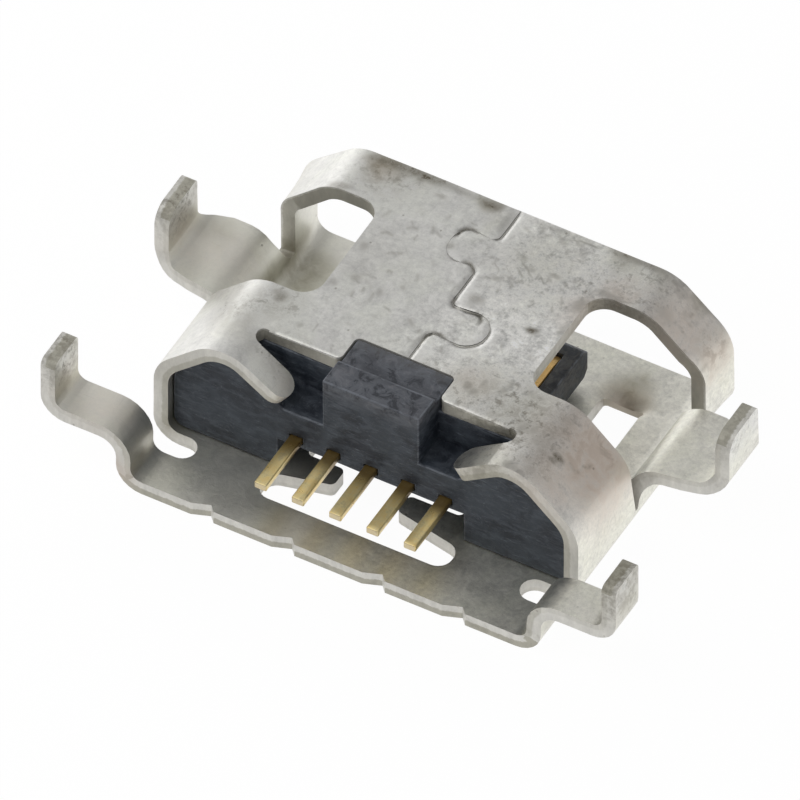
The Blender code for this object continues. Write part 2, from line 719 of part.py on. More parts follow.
def pocket_outline(side):
    """Section of the pocket under a lock finger: flat floor, then a slope along the finger."""
    drop = (SHEET_T / 2.0 + FINGER_CLEAR) / math.cos(FINGER_ANGLE)
    out_x = FINGER_BEND_X - POCKET_OUT
    floor_z = finger_line_z(FINGER_TIP_X) - drop
    top = SHELL_H + BLOCK_PROUD + CUT_OVER
    points = [(BLOCK_HALF_X, floor_z), (FINGER_TIP_X, floor_z),
              (out_x, finger_line_z(out_x) - drop), (out_x, top), (BLOCK_HALF_X, top)]
    return [(side * x, z) for x, z in points]


def block_side():
    """Side view of the block, Y against Z, with its root inside the body."""
    root = SHELL_H - SHEET_T - BLOCK_ROOT
    low = SHELL_H - BLOCK_SUNK
    high = SHELL_H + BLOCK_PROUD
    return [(BODY_REAR_Y, root), (BLOCK_FRONT_Y, root), (BLOCK_FRONT_Y, low),
            (BLOCK_STEP_Y + BLOCK_EDGE, low), (BLOCK_STEP_Y, high - BLOCK_EDGE),
            (BLOCK_STEP_Y - BLOCK_EDGE, high), (BODY_REAR_Y, high)]


def tongue_side():
    bottom = TONGUE_TOP_Z - TONGUE_T
    root = BODY_FRONT_Y - CUT_OVER
    c = TONGUE_CHAMFER
    return [(root, bottom), (TONGUE_TIP_Y - c, bottom), (TONGUE_TIP_Y, bottom + c),
            (TONGUE_TIP_Y, TONGUE_TOP_Z - c), (TONGUE_TIP_Y - c, TONGUE_TOP_Z),
            (root, TONGUE_TOP_Z)]


def passage_side():
    """Side view of a contact's passage through the body and open groove on the tongue."""
    low = CONTACT_TOP_Z - CONTACT_T - CONTACT_FIT
    high = CONTACT_TOP_Z + CONTACT_FIT
    deep = low - CONTACT_DIP
    open_top = TONGUE_TOP_Z + CUT_OVER
    start = BODY_REAR_Y - CUT_OVER
    groove = BODY_FRONT_Y + CONTACT_END_GAP
    end = CONTACT_TIP_Y + CONTACT_END_GAP
    return [(start, low), (CONTACT_DIP_Y - CONTACT_END_GAP, low), (CONTACT_DIP_Y, deep),
            (end, deep), (end, open_top), (groove, open_top), (groove, high), (start, high)]


def channel_outline():
    """Section of the open channel under the solder tails."""
    half = ROW_HALF_X + CHANNEL_SIDE
    roof = CONTACT_TOP_Z - CONTACT_T - CHANNEL_ROOF
    return [(-half, 0.0), (half, 0.0), (half, roof), (-half, roof)]


def contact_centres():
    first = -(CONTACT_COUNT - 1) / 2.0 * CONTACT_PITCH
    return [first + i * CONTACT_PITCH for i in range(CONTACT_COUNT)]


def build_housing(material, collection, tools):
    obj = prism_object("housing", [body_outline()], BODY_REAR_Y, BODY_FRONT_Y, "Y", collection)
    behind = BODY_REAR_Y - CUT_OVER
    tongue_x = ROW_HALF_X + TONGUE_SIDE
    passage_half = CONTACT_W / 2.0 + CONTACT_FIT
    bm = bmesh.new()
    for x in contact_centres():
        add_prism(bm, passage_side(), x - passage_half, x + passage_half, "X")
    passages = object_from_bmesh("cut_passages", bm, tools)
    tongue = prism_object("add_tongue", [tongue_side()], -tongue_x, tongue_x, "X", tools)
    block = prism_object("add_block", [block_side()], -BLOCK_HALF_X, BLOCK_HALF_X, "X", tools)
    pockets = prism_object("cut_pockets", [pocket_outline(1.0), pocket_outline(-1.0)],
                           behind, TOP_REAR_Y + POCKET_LEDGE, "Y", tools)
    channel = prism_object("cut_channel", [channel_outline()],
                           behind, BODY_FRONT_Y - CHANNEL_END_WALL, "Y", tools)
    add_boolean(obj, tongue, "UNION")
    add_boolean(obj, block, "UNION")
    add_boolean(obj, pockets, "DIFFERENCE")
    add_boolean(obj, channel, "DIFFERENCE")
    add_boolean(obj, passages, "DIFFERENCE")
    obj.data.materials.append(material)


def build_contact(name, x, material, collection):
    path = [(TAIL_PLATE_Y + TAIL_INSET, CONTACT_MID_Z), (BODY_REAR_Y, CONTACT_MID_Z),
            (CONTACT_DIP_Y, CONTACT_MID_Z), (CONTACT_TIP_Y, CONTACT_MID_Z - CONTACT_DIP)]
    half = CONTACT_W / 2.0
    bm = bmesh.new()
    add_strip(bm, [[(x - half, y, z) for y, z in path], [(x + half, y, z) for y, z in path]])
    obj = object_from_bmesh(name, bm, collection)
    strip = obj.modifiers.new("strip", "SOLIDIFY")
    strip.thickness = CONTACT_T
    strip.offset = 0.0
    strip.use_even_offset = True
    edge = obj.modifiers.new("edge", "BEVEL")
    edge.width = CONTACT_EDGE
    edge.segments = CONTACT_EDGE_STEPS
    edge.limit_method = "ANGLE"
    edge.angle_limit = math.radians(40.0)
    obj.data.materials.append(material)


def build():
    clear_scene()
    parts = new_collection("micro_usb_socket")
    tools = new_collection("cutters")
    tin = make_material("tin_plated_steel", (0.62, 0.60, 0.56), 1.0, 0.42)
    black = make_material("black_moulding", (0.045, 0.05, 0.06), 0.0, 0.6)
    gold = make_material("gold_plated_contact", (0.78, 0.60, 0.30), 1.0, 0.3)
    build_shell(tin, parts, tools)
    build_housing(black, parts, tools)
    for i, x in enumerate(contact_centres()):
        build_contact("contact_%d" % (i + 1), x, gold, parts)


build()
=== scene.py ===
import bmesh
import bpy
import json
import math
import numpy as np
import random
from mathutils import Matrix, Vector, noise
from mathutils.bvhtree import BVHTree

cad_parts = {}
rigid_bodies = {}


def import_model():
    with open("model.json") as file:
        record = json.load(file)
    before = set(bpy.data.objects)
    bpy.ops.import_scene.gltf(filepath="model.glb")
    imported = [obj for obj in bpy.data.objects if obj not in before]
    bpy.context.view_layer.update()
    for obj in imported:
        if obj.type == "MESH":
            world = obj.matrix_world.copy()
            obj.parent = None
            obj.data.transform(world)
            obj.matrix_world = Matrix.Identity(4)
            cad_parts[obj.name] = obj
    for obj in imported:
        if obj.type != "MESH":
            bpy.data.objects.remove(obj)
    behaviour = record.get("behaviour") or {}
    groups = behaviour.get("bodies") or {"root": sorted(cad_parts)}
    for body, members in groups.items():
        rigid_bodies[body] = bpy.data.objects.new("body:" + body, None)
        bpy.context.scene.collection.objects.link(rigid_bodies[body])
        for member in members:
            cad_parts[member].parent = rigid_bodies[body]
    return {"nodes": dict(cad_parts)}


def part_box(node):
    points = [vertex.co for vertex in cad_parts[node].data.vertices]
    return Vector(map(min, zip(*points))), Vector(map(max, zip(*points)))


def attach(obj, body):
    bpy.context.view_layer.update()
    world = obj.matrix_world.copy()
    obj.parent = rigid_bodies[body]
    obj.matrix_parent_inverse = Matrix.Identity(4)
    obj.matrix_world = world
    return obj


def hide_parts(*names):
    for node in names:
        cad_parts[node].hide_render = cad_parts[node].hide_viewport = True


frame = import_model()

# The frame is in metres. X runs along the contacts, Y out of the mouth, Z up from the wide plate.
# Lengths without MM are in millimetres, and angles are in degrees.
MM = 0.001
SHARP_ANGLE = 32.0

# Rounding of the sharp edges.
SHELL_ROUND = 0.020
HOUSING_ROUND = 0.022
CONTACT_ROUND = 0.010
# Spacing of the cuts that let a surface bend.
SHELL_STEP = 0.12
SLOPE_STEP = 0.06
TOP_STEP = 0.03
LATCH_STEP = 0.04
MOULDING_STEP = 0.14

# Heights and edges of the shell that the shaping uses.
SLOPE_Z = 1.5
TOP_Z = 2.40
TOP_REAR_Y = -1.055
TOP_REAR_ROLL = 0.024
TOP_REAR_ROLL_W = 0.055
FINGER_X = 2.05
FINGER_L = 0.85
FINGER_REAR_Y = -1.81
FINGER_DROOP = 0.040
FINGER_DROOP_LEFT = 0.022
FINGER_LEAN = 0.050
LATCH_X = 2.35
LATCH_FRONT_Y = 2.075
LATCH_RAMP = 0.115
LATCH_RAMP_L = 0.21

# The closed seam: its gap, the level of its bottom, and the rolled rims on both sides.
SEAM_REACH = 0.004
SEAM_GAP = 0.0015
SEAM_BOTTOM_Z = 2.436
SEAM_PRESSED = 0.016
ROLL_DEPTH = 0.028
ROLL_RIGHT_W = 0.110
ROLL_LEFT_W = 0.150
GROOVE_DEPTH = 0.020

NOISE_SEED = 7
SCUFF_COUNT = 380
NORMAL_ROUNDS = 50

# View of the photograph.
AZIMUTH = 29.09
ELEVATION = 46.81
VIEW_WIDTH = 12.18 * MM
AIM = Vector((-0.311, -0.178, 1.004)) * MM
CAMERA_DISTANCE = 50 * MM
LAMP_DISTANCE = 60 * MM

noise.seed_set(NOISE_SEED)
nodes = frame["nodes"]
scene = bpy.context.scene
for extra in list(bpy.data.objects):
    if extra.type in {"MESH", "LIGHT", "CAMERA"} and extra.name not in nodes:
        bpy.data.objects.remove(extra)
bpy.context.view_layer.update()

dressed = bpy.data.collections.new("dressed_socket")
scene.collection.children.link(dressed)

# Worn marks on the top sheet, and painted shade at the edge and at the corner of the right window (the spots
# at 2.09, 2.08 and 1.81, 1.71). Soft spots: x, y, half length, half width, tone.
SPOTS = (
    (1.39, 0.88, 0.095, 0.060, 1.28), (1.16, 2.04, 0.100, 0.060, 0.68), (1.12, 1.92, 0.055, 0.044, 0.54),
    (0.53, 1.69, 0.130, 0.040, 0.47), (0.56, 2.14, 0.080, 0.060, 0.54), (0.41, 1.57, 0.100, 0.060, 0.54),
    (0.77, 1.99, 0.073, 0.060, 0.54), (0.32, 1.04, 0.130, 0.080, 0.84), (0.30, 0.93, 0.070, 0.070, 0.54),
    (-0.56, 1.83, 0.060, 0.060, 0.61), (0.92, 2.72, 0.073, 0.044, 0.47), (1.16, 2.81, 0.073, 0.044, 0.47),
    (1.28, 2.66, 0.091, 0.089, 0.34), (-0.76, 0.73, 0.055, 0.044, 0.41), (-1.48, 0.55, 0.073, 0.080, 0.47),
    (-1.03, 0.46, 0.055, 0.080, 0.41), (-1.75, 0.30, 0.073, 0.067, 0.47), (-1.62, 2.81, 0.073, 0.067, 0.61),
    (-1.19, 2.65, 0.091, 0.044, 0.54), (-1.68, 1.18, 0.073, 0.067, 0.41), (-2.27, -0.35, 0.110, 0.110, 0.81),
    (-2.38, -0.29, 0.091, 0.067, 0.61), (-1.74, -0.72, 0.055, 0.044, 0.41), (2.95, 2.29, 0.127, 0.111, 0.30),
    (2.93, 2.83, 0.109, 0.111, 0.36), (2.09, 2.08, 0.240, 0.080, 0.61), (1.81, 1.71, 0.145, 0.150, 0.54),
    (1.82, 1.09, 0.100, 0.170, 0.54), (-2.64, 2.13, 0.180, 0.080, 0.68), (1.10, -0.58, 0.085, 0.100, 0.74),
    (1.25, -0.66, 0.085, 0.080, 0.68), (1.30, -0.44, 0.055, 0.100, 0.61), (1.61, -0.41, 0.073, 0.100, 0.61),
    (1.68, -0.25, 0.055, 0.100, 0.54), (2.04, -0.27, 0.100, 0.080, 0.54), (2.19, -0.28, 0.100, 0.060, 0.61),
    (2.26, -0.95, 0.085, 0.100, 0.54), (2.42, -0.92, 0.085, 0.100, 0.54), (2.58, -1.09, 0.085, 0.060, 0.47),
    (2.94, -1.10, 0.080, 0.055, 1.22), (2.90, -1.22, 0.070, 0.040, 0.81), (2.44, -1.74, 0.100, 0.080, 0.61),
    (2.56, -1.74, 0.073, 0.080, 0.54), (2.67, -1.78, 0.073, 0.067, 0.54), (3.75, 2.17, 0.090, 0.120, 0.94),
)
# Thin scratches and cracks in the plating: half width, tone, points.
SCRATCHES = (
    (0.017, 0.67, ((0.15, 1.43), (0.24, 1.53), (0.36, 1.52), (0.47, 1.56))),
    (0.016, 0.54, ((0.19, 1.96), (0.23, 1.83), (0.34, 1.75), (0.37, 1.63))),
    (0.015, 0.48, ((0.34, 1.94), (0.46, 1.82), (0.60, 1.73))),
    (0.017, 0.64, ((0.47, 2.14), (0.58, 2.05), (0.69, 1.99), (0.80, 1.89), (0.93, 1.84))),
    (0.015, 0.48, ((0.43, 1.99), (0.46, 2.10), (0.49, 2.17))),
    (0.016, 0.58, ((0.50, 1.84), (0.55, 1.94), (0.72, 1.79), (0.79, 1.81))),
    (0.016, 0.61, ((0.89, 2.01), (1.08, 1.83), (1.14, 1.98), (1.18, 2.05))),
    (0.020, 0.64, ((0.91, 2.76), (1.05, 2.86), (1.22, 2.89), (1.40, 2.89), (1.56, 2.91))),
    (0.016, 0.54, ((1.20, 2.56), (1.34, 2.50), (1.43, 2.62))),
    (0.022, 0.96, ((1.31, 0.88), (1.39, 0.87), (1.46, 0.89))),
    (0.018, 0.58, ((-1.52, 0.55), (-1.40, 0.47), (-1.36, 0.52))),
    (0.018, 0.58, ((-0.84, 0.24), (-0.75, 0.21), (-0.65, 0.17))),
    (0.016, 0.48, ((-1.35, 1.19), (-1.28, 1.28), (-1.17, 1.30))),
    (0.026, 0.60, ((3.62, 2.10), (3.70, 2.45), (3.72, 2.85))),
    (0.026, 0.72, ((2.05, 2.05), (2.30, 2.08), (2.55, 2.16))),
)
# Tarnished strip along the mouth rim.
RIM_STRIPS = (
    (0.085, 1.30, ((-2.60, 2.86), (-2.30, 2.90), (-1.90, 2.91), (-1.45, 2.92), (-0.95, 2.94))),
    (0.070, 0.76, ((-1.49, 2.88), (-1.07, 2.90), (-0.63, 2.91))),
    (0.075, 1.18, ((-0.62, 2.88), (-0.40, 2.87), (-0.18, 2.86))),
    (0.040, 0.47, ((0.09, 2.88), (0.77, 2.91), (1.44, 2.94))),
    (0.080, 1.04, ((1.54, 2.93), (1.95, 2.94), (2.38, 2.95), (2.68, 2.95))),
    (0.040, 0.76, ((2.68, 2.96), (3.20, 2.97), (3.70, 2.97))),
)
# Pressed grooves beside the dovetail seam, also painted dark as the shade in them.
GROOVES = (
    (0.030, 1.00, ((-0.57, 2.00), (-0.57, 2.18), (-0.51, 2.27), (-0.42, 2.31), (-0.27, 2.28))),
    (0.027, 0.95, ((-0.26, 1.63), (-0.11, 1.66), (-0.02, 1.60), (0.03, 1.48))),
    (0.022, 0.30, ((0.01, 1.52), (0.01, 1.21), (0.01, 0.93))),
    (0.027, 0.80, ((0.02, 1.00), (0.03, 0.84), (0.13, 0.74))),
    (0.031, 1.00, ((0.26, 0.74), (0.43, 0.80), (0.55, 0.77), (0.62, 0.69), (0.62, 0.54))),
    (0.031, 1.00, ((0.01, -0.16), (0.03, 0.03), (0.10, 0.12), (0.20, 0.15), (0.39, 0.09))),
    (0.045, 0.42, ((-0.06, 2.97), (-0.05, 2.72), (-0.05, 2.42))),
)
# Parts of the seam whose right rim is rolled down, where it catches the light and gets a painted highlight.
RIDGES = (
    (0.16, 1.00, ((0.07, 3.00), (0.09, 2.61), (0.06, 2.38), (-0.03, 2.26))),
    (0.16, 1.00, (
        (0.09, 1.67), (0.10, 1.32), (0.12, 0.93), (0.17, 0.83), (0.26, 0.83), (0.42, 0.91), (0.57, 0.89),
    )),
    (0.16, 1.00, ((0.69, 0.79), (0.83, 0.53), (0.85, 0.36), (0.73, 0.13), (0.53, 0.01), (0.34, 0.01))),
    (0.16, 1.00, ((0.22, 0.03), (0.15, -0.06), (0.12, -0.19), (0.09, -0.50), (0.09, -1.0))),
    (0.12, 0.50, ((-0.52, 1.77), (-0.39, 1.68), (-0.26, 1.68))),
)
# Painted shadow at the foot of the step on top of the moulding's block, drawn as an uneven dark line.
BLOCK_STEP_SHADOW = (
    (0.055, 1.00, (
        (-0.56, -0.97), (-0.30, -1.05), (-0.08, -1.09), (0.12, -1.15), (0.30, -1.14), (0.50, -1.08),
    )),
    (0.045, 0.80, ((0.18, -1.05), (0.32, -1.12), (0.44, -1.22))),
)
# Brown film: x, y, z, radius, strength.
WARM_FILMS = (
    (3.20, 2.35, 2.05, 0.70, 0.75), (3.45, 2.60, 1.75, 0.40, 0.60), (3.30, -0.60, 1.90, 0.90, 1.10),
    (3.05, -1.35, 2.15, 0.60, 0.75), (-2.21, 2.77, 2.44, 0.22, 0.60), (2.20, 2.25, 2.44, 0.30, 0.60),
    (1.10, -0.50, 2.44, 0.35, 0.40), (-4.75, -2.60, 1.45, 0.40, 0.35), (-3.70, -2.85, 0.35, 0.30, 0.80),
    (-4.60, 0.95, 1.45, 0.45, 0.40), (2.02, 1.60, 2.30, 0.45, 0.60), (3.70, 2.60, 1.55, 0.48, 0.80),
    (2.35, 2.10, 0.16, 0.32, 1.10), (-1.20, -1.60, 1.90, 0.45, 0.30), (-4.10, 1.05, 1.15, 0.55, 0.30),
    (-4.10, -2.62, 1.15, 0.50, 0.35),
)
# Dull olive film and painted shade, mostly in the corners of the folds and on the bent rims of the latch
# holes: x, y, z, radius, strength.
OLIVE_FILM_AND_SHADE = (
    (2.30, 2.45, 0.25, 0.30, 0.75), (2.45, 2.12, 0.12, 0.34, 0.50), (-3.36, 2.05, 0.25, 0.55, 0.70),
    (-3.40, 1.20, 0.50, 0.45, 0.60), (-3.40, -1.60, 0.35, 0.30, 0.60), (2.03, -0.78, 2.44, 0.60, 0.26),
    (-0.13, 2.65, 2.44, 0.26, 0.22), (2.12, -1.70, 2.20, 0.42, 0.45), (-2.20, 2.90, 2.44, 0.34, 0.60),
    (-1.70, 2.93, 2.44, 0.28, 0.42), (-0.42, 2.90, 2.44, 0.22, 0.60), (1.90, 2.95, 2.44, 0.30, 0.45),
    (2.50, 2.95, 2.42, 0.26, 0.45), (3.20, 2.98, 2.05, 0.22, 0.40), (-2.60, -1.20, 2.30, 0.40, 0.25),
    (0.95, 2.35, 2.44, 0.55, 0.16), (-1.60, 1.00, 2.44, 0.60, 0.10), (1.50, -1.50, 2.30, 0.36, 0.40),
    (4.88, -2.62, 1.75, 0.50, 0.42), (-4.40, 1.40, 1.15, 0.30, 0.35), (3.90, -2.60, 0.60, 0.35, 0.50),
)
# Places where the plating is mottled brown: x, y, z, radius, strength.
GRIME = (
    (2.05, -0.75, 2.44, 0.90, 0.74), (1.35, -0.60, 2.44, 0.60, 0.68), (2.20, 2.30, 2.44, 0.80, 0.54),
    (-2.30, -0.45, 2.44, 0.42, 0.60), (0.90, 1.90, 2.44, 0.90, 0.41), (2.70, -1.35, 2.38, 0.42, 0.55),
    (-2.10, 2.70, 2.44, 0.55, 0.54), (3.68, 2.60, 1.65, 0.35, 0.50), (-4.80, 1.00, 2.00, 0.50, 0.68),
    (-4.80, -2.60, 1.90, 0.50, 0.68), (4.80, 1.00, 2.00, 0.50, 0.47), (4.80, -2.60, 1.90, 0.60, 0.75),
    (-1.75, -1.25, 2.30, 0.45, 0.47), (0.20, -0.80, 2.44, 0.40, 0.47), (-2.70, -0.80, 2.20, 0.40, 0.54),
)


def clean_copy(node):
    """The node's mesh as one welded body with its flat faces joined."""
    bm = bmesh.new()
    bm.from_mesh(nodes[node].data)
    bmesh.ops.remove_doubles(bm, verts=bm.verts, dist=0.0004 * MM)
    bmesh.ops.dissolve_limit(bm, angle_limit=math.radians(0.6), verts=bm.verts, edges=bm.edges)
    bm.normal_update()
    return bm


def edge_angle(edge):
    if len(edge.link_faces) != 2:
        return 0.0
    return math.degrees(edge.calc_face_angle(0.0))


def smooth_regions(bm):
    """Groups of faces that meet without a sharp edge, the largest first."""
    seen = set()
    groups = []
    for start in bm.faces:
        if start in seen:
            continue
        seen.add(start)
        group = [start]
        stack = [start]
        while stack:
            face = stack.pop()
            for edge in face.edges:
                if edge_angle(edge) > SHARP_ANGLE:
                    continue
                for other in edge.link_faces:
                    if other not in seen:
                        seen.add(other)
                        group.append(other)
                        stack.append(other)
        groups.append(group)
    groups.sort(key=lambda faces: -sum(face.calc_area() for face in faces))
    return groups


def surface_tree(faces):
    """Search tree of a group of faces, made before the mesh changes."""
    points = []
    polygons = []
    for face in faces:
        polygons.append(list(range(len(points), len(points) + len(face.verts))))
        points.extend(vert.co.copy() for vert in face.verts)
    return BVHTree.FromPolygons(points, polygons)


def bevel_sharp(bm, width, layer):
    """Rounds the sharp edges that stand out, and marks the new faces in the layer with 1."""
    edges = [edge for edge in bm.edges if edge_angle(edge) > SHARP_ANGLE and edge.is_convex]
    made = bmesh.ops.bevel(
        bm, geom=edges, offset=width * MM, offset_type="OFFSET", segments=2, profile=0.5, affect="EDGES",
        clamp_overlap=True, loop_slide=False, material=-1,
    )
    for face in made["faces"]:
        face[layer] = 1.0


def slice_axis(bm, axis, step, low, high, wanted=None):
    """Cuts faces by evenly spaced planes across one axis, so that the surface can bend."""
    step *= MM
    normal = Vector((0, 0, 0))
    normal[axis] = 1
    faces = [face for face in bm.faces if wanted is None or wanted(face)]
    geom = list(dict.fromkeys(vert for face in faces for vert in face.verts))
    geom += list(dict.fromkeys(edge for face in faces for edge in face.edges)) + faces
    for i in range(int((high[axis] - low[axis]) / step)):
        point = Vector((0, 0, 0))
        point[axis] = low[axis] + (i + 0.63) * step
        made = bmesh.ops.bisect_plane(bm, geom=geom, dist=0.0002 * MM, plane_co=point, plane_no=normal)
        geom = made["geom"]


def flow(point, scale, seed):
    """A smooth vector that changes slowly from place to place."""
    return noise.noise_vector(point / (scale * MM) + Vector((seed, 0.7 * seed, -seed)))


def hold_inside(vert, low, high):
    for axis in range(3):
        vert.co[axis] = min(max(vert.co[axis], low[axis]), high[axis])


def write_points(mesh, name, values):
    attribute = mesh.attributes.new(name, "FLOAT", "POINT")
    attribute.data.foreach_set("value", np.asarray(values, np.float32))


def spread_normals(mesh, kinds):
    """Normals that turn evenly over the bends; kinds: 0 and 1 the skins, 2 sheared faces, 3 rounded edges."""
    count = len(mesh.vertices)
    places = np.empty(count * 3)
    mesh.vertices.foreach_get("co", places)
    places = places.reshape(-1, 3) / MM
    totals = np.empty(len(mesh.polygons), np.int32)
    mesh.polygons.foreach_get("loop_total", totals)
    corner_vert = np.empty(len(mesh.loops), np.int32)
    mesh.loops.foreach_get("vertex_index", corner_vert)
    corner_kind = np.repeat(kinds, totals)
    face_normal = np.empty(len(mesh.polygons) * 3)
    mesh.polygons.foreach_get("normal", face_normal)
    face_area = np.empty(len(mesh.polygons))
    mesh.polygons.foreach_get("area", face_area)
    weighted = np.repeat(face_normal.reshape(-1, 3) * face_area[:, None], totals, axis=0)
    ends = np.empty(len(mesh.edges) * 2, np.int32)
    mesh.edges.foreach_get("vertices", ends)
    ends = ends.reshape(-1, 2)
    length = np.linalg.norm(places[ends[:, 0]] - places[ends[:, 1]], axis=1)

    def unit(rows):
        return rows / np.maximum(np.linalg.norm(rows, axis=1, keepdims=True), 1e-20)

    sums = []
    held = []
    for kind in range(4):
        total = np.zeros((count, 3))
        chosen = corner_kind == kind
        np.add.at(total, corner_vert[chosen], weighted[chosen])
        present = np.zeros(count, bool)
        present[corner_vert[chosen]] = True
        total = unit(total)
        if kind < 2:
            inside = present[ends[:, 0]] & present[ends[:, 1]] & (length > 1e-5)
            first, second = ends[inside].T
            pull = np.minimum(0.00022 / length[inside] ** 2, 0.11)[:, None]
            level = (places[:, 2] > 2.30) & (np.abs(places[:, 0]) < 2.12)
            pull[level[first] & level[second]] = 0.0
            for _ in range(NORMAL_ROUNDS):
                change = (total[second] - total[first]) * pull
                np.add.at(total, first, change)
                np.add.at(total, second, -change)
            total = unit(total)
        sums.append(total)
        held.append(present)
    normals = np.zeros((len(corner_vert), 3))
    for kind in range(3):
        chosen = corner_kind == kind
        normals[chosen] = sums[kind][corner_vert[chosen]]
    rounded = corner_kind == 3
    at = corner_vert[rounded]
    own = sums[3][at]
    for kind in (2, 1, 0):
        own = np.where(held[kind][at][:, None], sums[kind][at], own)
    normals[rounded] = own
    mesh.normals_split_custom_set(normals.tolist())


def make_object(bm, name, material, node, kinds=None):
    mesh = bpy.data.meshes.new(name)
    bm.to_mesh(mesh)
    bm.free()
    mesh.polygons.foreach_set("use_smooth", [True] * len(mesh.polygons))
    mesh.materials.append(material)
    obj = bpy.data.objects.new(name, mesh)
    dressed.objects.link(obj)
    if kinds is None:
        mesh.set_sharp_from_angle(angle=math.radians(38))
        weighted = obj.modifiers.new("even_normals", "WEIGHTED_NORMAL")
        weighted.keep_sharp = True
    else:
        spread_normals(mesh, kinds)
    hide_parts(node)
    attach(obj, "root")
    return obj


class Graph:
    """Short calls that add nodes to one material."""

    def __init__(self, name):
        self.material = bpy.data.materials.new(name)
        self.material.use_nodes = True
        self.tree = self.material.node_tree
        self.shader = self.tree.nodes["Principled BSDF"]
        place = self.tree.nodes.new("ShaderNodeTexCoord")
        scaled = self.tree.nodes.new("ShaderNodeVectorMath")
        scaled.operation = "SCALE"
        scaled.inputs["Scale"].default_value = 1.0 / MM
        self.tree.links.new(place.outputs["Object"], scaled.inputs[0])
        self.place = scaled.outputs[0]
        split = self.tree.nodes.new("ShaderNodeSeparateXYZ")
        self.tree.links.new(self.place, split.inputs[0])
        self.x, self.y, self.z = split.outputs

    def put(self, socket, value):
        if isinstance(value, bpy.types.NodeSocket):
            self.tree.links.new(value, socket)
        elif isinstance(value, tuple) and len(value) == 3 and socket.type == "RGBA":
            socket.default_value = (*value, 1.0)
        else:
            socket.default_value = value

    def math(self, operation, a, b=0.0):
        node = self.tree.nodes.new("ShaderNodeMath")
        node.operation = operation
        self.put(node.inputs[0], a)
        self.put(node.inputs[1], b)
        return node.outputs[0]

    def add(self, a, b):
        return self.math("ADD", a, b)

    def times(self, a, b):
        return self.math("MULTIPLY", a, b)

    def step(self, value, low, high, start=0.0, end=1.0):
        """Smooth step from start to end as the value goes from low to high."""
        node = self.tree.nodes.new("ShaderNodeMapRange")
        node.interpolation_type = "SMOOTHSTEP"
        self.put(node.inputs["Value"], value)
        node.inputs["From Min"].default_value = low
        node.inputs["From Max"].default_value = high
        node.inputs["To Min"].default_value = start
        node.inputs["To Max"].default_value = end
        return node.outputs["Result"]

    def stretched(self, factors, turn=(0.0, 0.0, 0.0)):
        node = self.tree.nodes.new("ShaderNodeMapping")
        self.tree.links.new(self.place, node.inputs["Vector"])
        node.inputs["Rotation"].default_value = turn
        node.inputs["Scale"].default_value = factors
        return node.outputs[0]

    def noise(self, scale, detail=3.0, rough=0.55, vector=None, distortion=0.0):
        node = self.tree.nodes.new("ShaderNodeTexNoise")
        self.tree.links.new(vector or self.place, node.inputs["Vector"])
        node.inputs["Scale"].default_value = scale
        node.inputs["Detail"].default_value = detail
        node.inputs["Roughness"].default_value = rough
        node.inputs["Distortion"].default_value = distortion
        return node.outputs["Fac"]

    def cells(self, scale):
        node = self.tree.nodes.new("ShaderNodeTexVoronoi")
        self.tree.links.new(self.place, node.inputs["Vector"])
        node.inputs["Scale"].default_value = scale
        return node.outputs["Distance"], node.outputs["Color"]

    def attribute(self, name):
        node = self.tree.nodes.new("ShaderNodeAttribute")
        node.attribute_name = name
        return node.outputs["Fac"]

    def blend(self, share, a, b, kind="MIX"):
        node = self.tree.nodes.new("ShaderNodeMix")
        node.data_type = "RGBA"
        node.blend_type = kind
        self.put(node.inputs[0], share)
        self.put(node.inputs[6], a)
        self.put(node.inputs[7], b)
        return node.outputs[2]

    def grey(self, value):
        node = self.tree.nodes.new("ShaderNodeCombineColor")
        for socket in node.inputs:
            self.put(socket, value)
        return node.outputs[0]

    def bump(self, height, distance, normal=None):
        node = self.tree.nodes.new("ShaderNodeBump")
        node.inputs["Strength"].default_value = 1.0
        node.inputs["Distance"].default_value = distance
        self.tree.links.new(height, node.inputs["Height"])
        if normal is not None:
            self.tree.links.new(normal, node.inputs["Normal"])
        return node.outputs[0]

    def finish(self, colour, roughness, metallic, normal):
        self.put(self.shader.inputs["Base Color"], colour)
        self.put(self.shader.inputs["Roughness"], roughness)
        self.put(self.shader.inputs["Metallic"], metallic)
        self.tree.links.new(normal, self.shader.inputs["Normal"])
        return self.material


